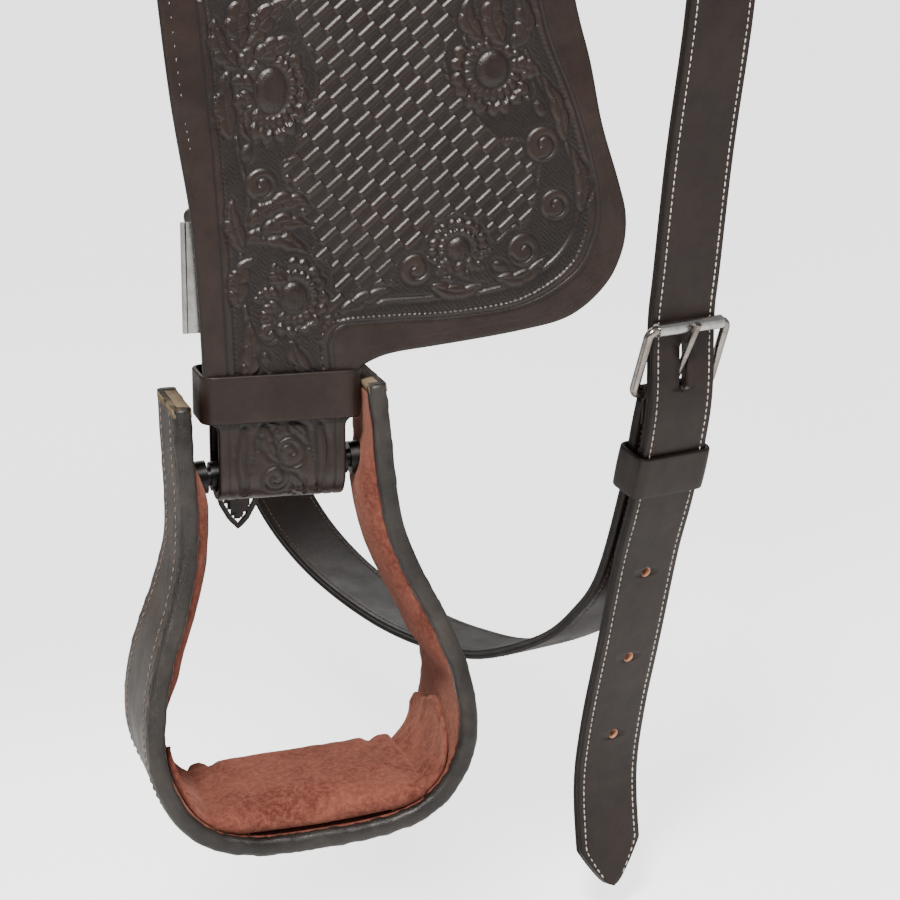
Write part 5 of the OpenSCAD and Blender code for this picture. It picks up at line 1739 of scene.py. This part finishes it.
for side, s in SIDES:
    low = axis_z + skirt_in * math.cos(math.radians(SKIRT_LOW_ANGLE)) - 0.7
    r = (skirt_in + skirt_out) / 2
    line = side_outline(r, SKIRT_FRONT, SKIRT_REAR, SKIRT_TOP_ANGLE, low, SKIRT_CORNER)
    surf = back_surface_at(r, s)
    data = panel(line, surf, skirt_t, 3.2, edge_tooling(line), back_step=12)
    finish(parts([f"{side}_skirt_leather"], data)[0], M["dark"], "saddle", replaces=[f"{side}_skirt"])
    pts, up = edge_seam(line, surf, 4.5, skirt_t / 2)
    keep = pts[:, 2] < -25
    stitches(f"{side}_skirt_stitches", [(pts[keep], up[keep])], "saddle", length=3.1, thick=0.9, seed=5)

    # fleece: a lumpy pelt with curls that stand out round its edge
    fr = (back_r + skirt_in) / 2
    low = axis_z + back_r * math.cos(math.radians(SKIRT_LOW_ANGLE)) - 0.7
    fline = side_outline(fr, SKIRT_FRONT, SKIRT_REAR, SKIRT_TOP_ANGLE, low, SKIRT_CORNER)

    def curls(ab):
        return np.zeros(len(ab)), np.zeros(len(ab))

    data = panel(fline, back_surface_at(fr, s, 0.1), fleece_t - 0.6, 5, curls, rim=8, back_step=5, edge_r=5.5)
    v = data["verts"]
    lump = rough(v, 2.6, 0.085) + rough(v, 1.5, 0.23, 3)
    axis_pt = np.stack([v[:, 0], np.zeros(len(v)), np.full(len(v), axis_z)], axis=1)
    radial = v - axis_pt
    rad = np.linalg.norm(radial, axis=1)
    inner = np.clip((fr + 2 - rad) / 6, 0, 1)
    radial /= rad[:, None]
    edge_push = np.clip(-signed_distance(data["uv"], fline) / 9, 0, 1)
    v = v + radial * (lump * inner + 1.2 * inner)[:, None]
    v[:, 2] += (1 - edge_push) * rough(v, 2.0, 0.16, 8)
    data["verts"] = v
    data["edge"] = data["edge"] * 0
    finish(parts([f"{side}_fleece_pelt"], data)[0], M["fleece"], "saddle", replaces=[f"{side}_fleece"])
    tuft_line = resample(inset(fline, -0.5), 3.4, closed=True)
    pos, nor = back_surface_at(fr - 2.5, s, 0.1)(tuft_line)
    pos = pos + rng.normal(0, 1.4, pos.shape)
    tangent = rng.normal(0, 1, pos.shape)
    keep = pos[:, 2] < -28
    obj_seams = [(pos[keep][k:k + 12], nor[keep][k:k + 12]) for k in range(0, keep.sum() - 12, 12)]
    stitches(f"{side}_fleece_curls", obj_seams, "saddle", length=8.5, thick=6.8, material="fleece", seed=31,
             jitter=0.6)

    # jockeys, rigging tabs and the leather loop over the bar
    jr = bar_out + 0.4 + leather_t / 2
    for tag, x0, x1, top, low_z, corner in JOCKEYS:
        line = side_outline(jr, x0, x1, top, low_z, corner)
        surf = back_surface_at(jr, s)
        data = panel(line, surf, leather_t, 2.4, edge_tooling(line), back_step=10)
        finish(parts([f"{side}_{tag}_leather"], data)[0], M["tooled"], "saddle", replaces=[f"{side}_{tag}"])
        pts, up = edge_seam(line, surf, 4.0, leather_t / 2)
        stitches(f"{side}_{tag}_stitches", [(pts, up)], "saddle", length=2.9, thick=0.8, seed=6)
    tab_r = skirt_out + 0.3 + 1.6
    for x, tag in ((FRONT_TAB_X, "front"), (flank_x, "rear")):
        c = np.array([dee_mid[0], dee_mid[1]])
        er = wire_r + 0.05 + 1.7
        down = np.array([math.cos(math.radians(DEE_ANGLE)), -math.sin(math.radians(DEE_ANGLE))])
        outw = np.array([math.sin(math.radians(DEE_ANGLE)), math.cos(math.radians(DEE_ANGLE))])
        flat = [np.array([tab_r * math.sin(t),
                          axis_z + tab_r * math.cos(t)]) for t in np.radians(np.arange(58, 71.1, 2))]
        loop = [c + er * (down * math.sin(t) - outw * math.cos(t)) for t in np.radians(np.arange(0, 181, 20))]
        top_r = tab_r + 3.4
        over = [np.array([top_r * math.sin(t), axis_z + top_r * math.cos(t)])
                for t in np.radians([70.5, 67, 63, 59])]
        path = resample(np.array(flat + loop + over), 1.5)
        fn = frames_2d(path)
        prof, edge = strap_profile(TAB_W, 3.0, 0.9, groove=3.2)
        w = 1 - 0.27 * np.exp(-((np.linalg.norm(path - c, axis=1)) / 9)**4)
        p3 = np.stack([np.full(len(path), float(x)), s * path[:, 0], path[:, 1]], axis=1)
        o3 = np.stack([np.zeros(len(path)), s * fn[:, 0], fn[:, 1]], axis=1)
        tab = sweep(f"{side}_{tag}_rigging_tab", p3, (1, 0, 0), o3, prof, edge, width=w)
        finish(tab, M["strap"], "saddle", replaces=[f"{side}_rigging"])
        sp = np.array(over)
        seam = []
        for a in (-18.6, 18.6):
            q = resample(sp, 4.2)
            qn = (q - [0, axis_z]) / np.linalg.norm(q - [0, axis_z], axis=1)[:, None]
            p = q + qn * 1.5
            seam.append((np.stack([np.full(len(p), x + a), s * p[:, 0], p[:, 1]], axis=1),
                         np.stack([np.zeros(len(p)), s * qn[:, 0], qn[:, 1]], axis=1)))
        stitches(f"{side}_{tag}_tab_stitches", seam, "saddle", length=2.9, thick=0.85, seed=8)
        # copper rivets with washers
        for dx in (-13, 13):
            t = math.radians(RIVET_ANGLE)
            o = np.array([0, s * math.sin(t), math.cos(t)])
            base = np.array([x + dx, 0, axis_z]) + o * (top_r + 1.4)
            ang = np.linspace(0, 2 * np.pi, 24, endpoint=False)
            e1, e2 = np.array([1, 0, 0]), np.cross([1, 0, 0], o)
            rows = [(4.6, -1.0), (4.7, 0.2), (4.2, 0.55), (2.9, 0.6), (2.6, 1.3), (1.6, 1.75), (0.1, 1.8)]
            round_o = np.outer(np.cos(ang), e1) + np.outer(np.sin(ang), e2)
            verts = np.vstack([base + o * h + r2 * round_o for r2, h in rows])
            faces = capped(len(rows), 24)
            rivet = outward(make(f"{side}_{tag}_rivet_{'a' if dx < 0 else 'b'}", verts, faces))
            finish(rivet, M["copper"], "saddle")

    lr0, lr1 = skirt_out + 0.4 + 2, loop_in + 2
    under = [(lr0, t) for t in range(55, 20, -3)]
    turn = [(lr0 + 3.5, 18.8), ((lr0 + lr1) / 2, 18.2), (lr1 - 3.5, 18.8)]
    over = [(lr1, t) for t in range(21, 61, 3)]
    path = resample(catmull([(q * math.sin(math.radians(t)), axis_z + q * math.cos(math.radians(t)))
                             for q, t in under + turn + over], 3), 3)
    fn = frames_2d(path)
    prof, edge = strap_profile(leather_w, 4, 1.1, groove=4)
    p3 = np.stack([np.zeros(len(path)), s * path[:, 0], path[:, 1]], axis=1)
    o3 = np.stack([np.zeros(len(path)), s * fn[:, 0], fn[:, 1]], axis=1)
    finish(sweep(f"{side}_stirrup_loop", p3, (1, 0, 0), o3, prof, edge), M["dark"], "saddle",
           replaces=[f"{side}_leather_loop"])
print("skirts, fleece, jockeys and rigging made")

# %% [markdown]
# ### Seat, cantle, swell and horn

# %%
SEAT_LINE = [(-150, 108), (-120, 97), (-60, 74), (0, 58), (50, 53), (100, 60), (150, 82), (190, 112),
             (226, 150)]
SEAT_EDGE = [(-150, 16), (-125, 30), (-90, 47), (-40, 56), (10, 58), (70, 57), (120, 50), (165, 40),
             (226, 33)]
SEAT_FALL = [(-150, 9), (-60, 5.5), (50, 3), (150, 3.6), (190, 3), (226, 2.7)]
QUILT = [-150, -60, 60, 140, 226], [8, 25, 28, 24, 20]
CANTLE = np.array([230.0, 0, 148.0])
LEAN = math.radians(20)
board_r = 159


def cantle_point(x, y, z):
    """A point of the cantle's frame: x back from its face, z up from its top."""
    x, y, z = np.broadcast_arrays(*(np.asarray(a, float) for a in (x, y, z)))
    return np.stack([CANTLE[0] + x * math.cos(LEAN) + z * math.sin(LEAN), y,
                     CANTLE[2] - x * math.sin(LEAN) + z * math.cos(LEAN)], axis=-1)


def seat_height(x, y, r, sink):
    a = axis_z + np.sqrt(np.maximum(1, r * r - y * y))
    b = table(SEAT_LINE, x) - sink - table(SEAT_FALL, x) * y * y / 1000
    return (a + b + np.sqrt((a - b)**2 + 144)) / 2


def seat_surface(ab):
    """a is x, b the angle round the back in degrees times 5; limited by the cantle's face and roll."""
    x, ang = ab[:, 0], np.radians(ab[:, 1] / 5)
    y = jockey_out * np.sin(ang)

    def at(x, y):
        z = seat_height(x, y, jockey_out, 0)
        return np.stack([x, y, z], axis=1)
    e = 0.5
    p = at(x, y)
    nor = np.cross(at(x + e, y) - at(x - e, y), at(x, y + e) - at(x, y - e))
    nor /= np.linalg.norm(nor, axis=1)[:, None]
    return p - nor * leather_t / 2, nor


def seat_edge_line():
    """The seat's outline: the fork, one wing, behind the cantle's side, along the cantle's face, and back."""
    right = []
    for x in np.arange(-148, 205, 8.0):
        right.append((x, 5 * float(table(SEAT_EDGE, x))))
    right += [(210, 5 * 34.5), (213, 5 * 33.8), (213.4, 5 * 33.0)]
    # along the cantle's face: where the seat's height meets the leaning face
    face = []
    for y in np.linspace(158, 0, 40):
        x = 225.0
        for _ in range(40):
            z = float(seat_height(np.array([x]), np.array([y]), jockey_out, 0)[0])
            target = CANTLE[0] - (CANTLE[2] - z) * math.tan(LEAN) - 0.9
            x += (min(target, 226.0) - x) * 0.5
        # under the roll's inner radius
        for _ in range(60):
            z = float(seat_height(np.array([x]), np.array([y]), jockey_out, 0)[0])
            if math.hypot(y, (z - CANTLE[2]) / math.cos(LEAN) + 165) < board_r + 1.5:
                break
            x -= 0.5
        face.append((x, 5 * math.degrees(math.asin(min(y / jockey_out, 1)))))
    half = right + face
    half = np.array(half)
    left = half[::-1] * [1, -1]
    return np.vstack([half, left[1:]])


def seat_tooling(ab):
    t = Tooling(ab)
    line = resample(SEAT_RING, 5, closed=True)
    sd = signed_distance(ab, line)
    x, ang = ab[:, 0], np.abs(ab[:, 1] / 5)
    wing = smooth((ang - np.interp(x, *QUILT)) / 2)
    # quilted inner seat with a raised roll at its border
    border = np.interp(x, *QUILT) - ang
    inside = smooth(border / 1.4)
    t.h += 2.4 * inside * (1 - np.exp(-np.clip(border, 0, None) / 3))
    # the grooves and cuts here also get painted shade through t.dark
    groove = np.exp(-(border / 0.35)**2)
    t.h -= 1.6 * groove
    t.dark = np.maximum(t.dark, 0.8 * groove)
    for v in (ab[:, 0] + ab[:, 1] * 1.05, ab[:, 0] - ab[:, 1] * 1.05):
        f = v / 30 - np.round(v / 30)
        cut = np.exp(-(f * 30 / 1.5)**2) * inside * smooth((x + 130) / 30)
        t.h -= 1.5 * cut
        t.dark = np.maximum(t.dark, 0.5 * cut)
    for d, depth in ((6.5, 0.5), (13.0, 0.4)):
        cut = np.exp(-((sd + d) / 0.8)**2) * wing
        t.h -= depth * cut
        t.dark = np.maximum(t.dark, 0.6 * cut)
    return t.h, t.dark


SEAT_RING = seat_edge_line()
data = panel(SEAT_RING, seat_surface, leather_t, 2.4, seat_tooling, rim=5, back_step=9)
finish(parts(["seat_leather"], data)[0], M["seat"], "saddle", replaces=["seat"])
seams = []
xs = np.arange(-140, 205, 4.4)
for s in (-1, 1):
    line = np.stack([xs, s * 5 * (np.interp(xs, *QUILT) + 0.9)], axis=1)
    pos, nor = seat_surface(line)
    seams.append((pos + nor * leather_t / 2, nor))
    line = line * [1, 1] + [0, -s * 9]
    pos, nor = seat_surface(line)
    seams.append((pos + nor * (leather_t / 2 + 1.4), nor))
stitches("seat_stitches", seams, "saddle", length=3.0, thick=0.85, seed=9)

# cantle: the back panel, and the rolled binding with its laced edge
rb = board_r
outline = [(rb * math.sin(a), -165 + rb * math.cos(a)) for a in np.radians(np.linspace(-86, 86, 90))]
low = [(y, 0) for y in np.linspace(157, -157, 60)]
low = [(y, float((axis_z + math.sqrt(292.6**2 - y * y) - CANTLE[2] + 22.6 * math.sin(LEAN)) / math.cos(LEAN)))
       for y, _ in low]
outline = [p for p in outline if p[1] > np.interp(abs(p[0]), [q[0] for q in low[::-1]],
                                                  [q[1] for q in low[::-1]]) + 1] + low


def cantle_back_surface(ab):
    bulge = 1.5 * np.cos(ab[:, 0] / 80)
    pos = cantle_point(20.4 + leather_t / 2 + bulge, ab[:, 0], ab[:, 1])
    return pos, np.broadcast_to([math.cos(LEAN), 0, -math.sin(LEAN)], pos.shape)


def cantle_tooling(ab):
    t = Tooling(ab)
    sd = signed_distance(ab, resample(outline, 5, closed=True))
    # the border cuts also get painted shade through t.dark
    for d in (9, 15):
        cut = np.exp(-((sd + d) / 0.8)**2)
        t.h -= 0.5 * cut
        t.dark = np.maximum(t.dark, 0.6 * cut)
    t.flower((0, -45), 9, 9, 90, spread=300, petals=7, rays=17)
    for a in (-1, 1):
        t.curl((a * 30, -48), 9, 90, a)
        t.curl((a * 56, -58), 8, 270, -a)
        t.leaf([(a * 12, -62), (a * 32, -68), (a * 55, -74)], 9, 5)
        t.leaf([(a * 14, -30), (a * 34, -32), (a * 52, -42)], 9, 4)
        t.leaf([(a * 64, -68), (a * 82, -72), (a * 98, -86)], 9, 4)
    return t.h, t.dark


data = panel(outline, cantle_back_surface, leather_t, 1.7, cantle_tooling, back_step=12)
finish(parts(["cantle_back_leather"], data)[0], M["tooled"], "saddle", replaces=["cantle_back"])


def roll_section(a, wide=12.25):
    """Section of the binding at one place: (back from the face, out from the board's edge)."""
    return wide + (wide + 3.4) * math.cos(a), 7.4 + 7.6 * math.sin(a)


rows, n = [], 150
angs = np.radians(np.linspace(-78, 78, n))
for k, t in enumerate(angs):
    end = min(1.0, math.sqrt(max(0.0, min(k, n - 1 - k) / 2.2)))
    for a in np.linspace(0, 2 * np.pi, 28, endpoint=False):
        x, r = roll_section(a)
        x = 12.25 + (x - 12.25) * (0.75 + 0.25 * end)
        r = board_r + 0.4 + 7.4 + (r - 7.4) * (0.7 + 0.3 * end)
        rows.append(cantle_point(x, r * math.sin(t), -165 + r * math.cos(t)))
rows = np.array(rows)
rows = rows + rough(rows, 0.25, 0.05)[:, None] * [0, 0, 1]
faces = capped(n, 28)
edge = np.zeros(len(rows))
roll = outward(make("cantle_roll", rows, faces, attrs={"edge": edge, "tool": edge}))
finish(roll, M["seat"], "saddle", replaces=["cantle_binding"])
seams = []
for x in (1.2, 24.0):
    r = board_r + 1.5
    t = np.radians(np.arange(-76, 76, 1.75))
    pts = cantle_point(np.full(len(t), x - 2.9 if x < 10 else x + 2.6), r * np.sin(t), -165 + r * np.cos(t))
    seams.append((pts, cantle_point(-1 if x < 10 else 1, 0, 0) - cantle_point(0, 0, 0)))
stitches("cantle_stitches", seams, "saddle", length=3.4, thick=0.95, seed=10)

# swell: the cover rolls over the fork's front and back edges
SWELL = catmull([(0, 150), (30, 149.5), (60, 144), (92, 129), (124, 112), (142, 93), (147, 71), (143, 48),
                 (133, 24),
                 (128, 8)], 8)
half = resample(SWELL, 3.0)
outer = np.vstack([half[:0:-1] * [-1, 1], half])
fn = frames_2d(outer)
if fn[len(fn) // 2, 1] < 0:
    fn = -fn
sec = []
for a in np.linspace(0, np.pi, 26):
    sec.append((-186 + 38.5 * math.copysign(abs(math.cos(a))**0.55, math.cos(a)),
                2.6 * abs(math.sin(a))**0.35))
sec = sec + [(-223.6, -6), (-222.3, -16), (-222.3, -17), (-149.7, -17), (-149.7, -16), (-148.4, -6)]
rows = []
for (y, z), (ny, nz) in zip(outer, fn):
    for x, r in sec:
        rows.append((x, y + ny * r, z + nz * r))
rows = np.array(rows)
m = len(sec)
# the horn stands through the cover
faces = capped(len(outer), m)
edge = np.zeros(len(rows))
swell = outward(make("swell_leather", rows + rough(rows, 0.25, 0.05)[:, None] * [1, 0, 0], faces,
                     attrs={"edge": edge, "tool": edge}))
finish(swell, M["tooled"], "saddle", replaces=["swell_cover"])
seams = []
for x, up in ((-149.2, 1), (-222.8, -1)):
    q = resample(outer + fn * -7.0, 4.4)
    q = q[np.abs(q[:, 0]) > 38] if up < 0 else q
    seams.append((np.stack([np.full(len(q), x + 0.4 * up), q[:, 0], q[:, 1]], axis=1), (up, 0, 0)))
stitches("swell_stitches", seams[:1], "saddle", length=3.0, thick=0.85, seed=12)

HORN = np.array([-194.0, 0, 146.0])
hl = math.radians(12)


def horn_point(x, y, z):
    x, y, z = np.broadcast_arrays(*(np.asarray(a, float) for a in (x, y, z)))
    return np.stack([HORN[0] + x * math.cos(hl) - z * math.sin(hl), y,
                     HORN[2] + x * math.sin(hl) + z * math.cos(hl)], axis=-1)


def lathe(name, rows, point, count=64):
    """A turned solid: rows of (radius, height) in the frame of point."""
    ang = np.linspace(0, 2 * np.pi, count, endpoint=False)
    verts = np.vstack([point(r * np.cos(ang), r * np.sin(ang), h) for r, h in rows])
    return outward(make(name, verts, capped(len(rows), count)))


# a rope of leather strip wound round the neck, and the cap over it
turns, steps = 9, 40
rows = []
for k in range(turns * steps + 1):
    t = k / steps
    a = 2 * np.pi * t
    h = 9 + t * 5.2
    r = np.interp(h, [5, 22, 42, 56], [27.5, 20.4, 20.4, 26.5])
    for b in np.linspace(0, 2 * np.pi, 10, endpoint=False):
        rows.append(horn_point((r + 1.6 * math.cos(b)) * math.cos(a), (r + 1.6 * math.cos(b)) * math.sin(a),
                               h + 3.0 * math.sin(b)))
n = turns * steps + 1
faces = capped(n, 10)
wrap = outward(make("horn_winding", np.array(rows), faces))
finish(wrap, M["strap"], "saddle")
core = [(14.3, 5.6), (29.5, 5.6), (29, 8), (24, 14), (19.6, 22), (19.2, 40), (24, 50), (28.5, 55), (14.3, 55)]
neck_obj = lathe("horn_neck_leather", core, horn_point)
finish(neck_obj, M["dark"], "saddle", replaces=["horn_wrap"])
cap = [(14.3, 60.6), (39, 60.7), (41.5, 61.5), (43.4, 64), (43.8, 66), (42.6, 69.5), (39.8, 70.9),
       (38.6, 70.6), (37.6, 71.4),
       (30, 73.3), (20, 74.3), (8, 74.9), (0.2, 75)]
cap_obj = lathe("horn_cap_leather", cap, horn_point, 96)
finish(cap_obj, M["seat"], "saddle", replaces=["horn_cap"])
ang = np.linspace(0, 2 * np.pi, 62, endpoint=False)
pts = horn_point(39.4 * np.cos(ang), 39.4 * np.sin(ang), 71.2)
stitches("horn_cap_stitches", [(pts, horn_point(0, 0, 1) - horn_point(0, 0, 0))], "saddle", length=3.0,
         thick=0.85, seed=13)

# a leather rosette behind each concho, at (x, angle down the side, radius)
on_bar = bar_out + 4.9
CONCHOS = ((-222, 50, on_bar), (300, 42, on_bar), (360, 30, on_bar), (112, 42, jockey_out))
for side, s in SIDES:
    for k, (x, a, r) in enumerate(CONCHOS):
        t = math.radians(a)
        o = np.array([0, s * math.sin(t), math.cos(t)])
        base = np.array([x, 0, axis_z]) + o * (r + 0.02)
        ang = np.linspace(0, 2 * np.pi, 72, endpoint=False)
        e1, e2 = np.array([1.0, 0, 0]), np.cross([1, 0, 0], o)
        wave = 19.5 + 1.3 * np.abs(np.sin(ang * 9))
        rows = []
        for f, h in ((0.3, -0.6), (1.0, -0.6), (1.03, 0.0), (0.98, 0.55), (0.78, 0.75), (0.76, 0.45),
                     (0.74, 0.75), (0.3, 0.6)):
            spokes = np.outer(np.cos(ang), e1) + np.outer(np.sin(ang), e2)
            rows.append(base + o * h + spokes * (wave * f)[:, None])
        ring = outward(make(f"{side}_rosette_{k + 1}", np.vstack(rows),
                            quads(8, 72, wrap_m=True, wrap_n=True)))
        finish(ring, M["strap"], "saddle")
print("seat, cantle, swell and horn made")

# %% [markdown]
# ## Camera, light and backdrop
# The object hangs over a plain pale floor, in soft light with one strong light that rakes across the tooling.

# %%
def area(name, at, aim, size, power, color=(1, 1, 1)):
    light = bpy.data.lights.new(name, "AREA")
    light.shape = "RECTANGLE"
    light.size = light.size_y = size
    light.energy, light.color = power, color
    obj = bpy.data.objects.new(name, light)
    bpy.context.collection.objects.link(obj)
    obj.location = at
    obj.rotation_euler = (Vector(aim) - Vector(at)).to_track_quat("-Z", "Y").to_euler()
    return obj


floor_mat = bpy.data.materials.new("pale_floor")
floor_mat.use_nodes = True
floor_node = floor_mat.node_tree.nodes["Principled BSDF"]
floor_node.inputs["Base Color"].default_value = (0.9, 0.9, 0.9, 1)
floor_node.inputs["Roughness"].default_value = 0.9
floor_node.inputs["Emission Color"].default_value = (1, 1, 1, 1)
shown = floor_mat.node_tree.nodes.new("ShaderNodeLightPath")
glow = floor_mat.node_tree.nodes.new("ShaderNodeMapRange")
glow.inputs["To Min"].default_value = 0.15
glow.inputs["To Max"].default_value = 2.2
floor_mat.node_tree.links.new(shown.outputs["Is Camera Ray"], glow.inputs["Value"])
floor_mat.node_tree.links.new(glow.outputs["Result"], floor_node.inputs["Emission Strength"])
bpy.ops.mesh.primitive_plane_add(size=16, location=(0, 0, -0.885))
floor_obj = bpy.context.object
floor_obj.name = "pale_floor"
floor_obj.data.materials.append(floor_mat)

world = bpy.data.worlds.new("studio")
bpy.context.scene.world = world
world.use_nodes = True
sky = world.node_tree.nodes["Background"]
sky.inputs[0].default_value = (1.0, 1.0, 1.0, 1)
seen = world.node_tree.nodes.new("ShaderNodeLightPath")
level = world.node_tree.nodes.new("ShaderNodeMapRange")
level.inputs["To Min"].default_value = 0.30
level.inputs["To Max"].default_value = 3.0
world.node_tree.links.new(seen.outputs["Is Camera Ray"], level.inputs["Value"])
world.node_tree.links.new(level.outputs["Result"], sky.inputs[1])

aim = Vector((0.0771, -0.3221, -0.545))
area("key_light", aim + Vector((-0.75, -0.75, 1.25)), aim, 0.35, 62, (1.0, 0.97, 0.93))
area("fill_light", aim + Vector((0.9, -1.5, 0.3)), aim, 1.2, 3, (0.93, 0.96, 1.0))
area("back_light", aim + Vector((0.6, 1.6, 0.9)), aim, 1.0, 10, (1.0, 0.98, 0.95))

cam_data = bpy.data.cameras.new("Camera")
cam_data.lens = 108.2
cam_data.sensor_width = 36
cam = bpy.data.objects.new("Camera", cam_data)
bpy.context.collection.objects.link(cam)
azimuth, elevation, distance = math.radians(-35), math.radians(14), 1.3
away = Vector((math.sin(azimuth) * math.cos(elevation), -math.cos(azimuth) * math.cos(elevation),
               math.sin(elevation)))
cam.location = aim + away * distance
cam.rotation_euler = (-away).to_track_quat("-Z", "Y").to_euler()
bpy.context.scene.camera = cam
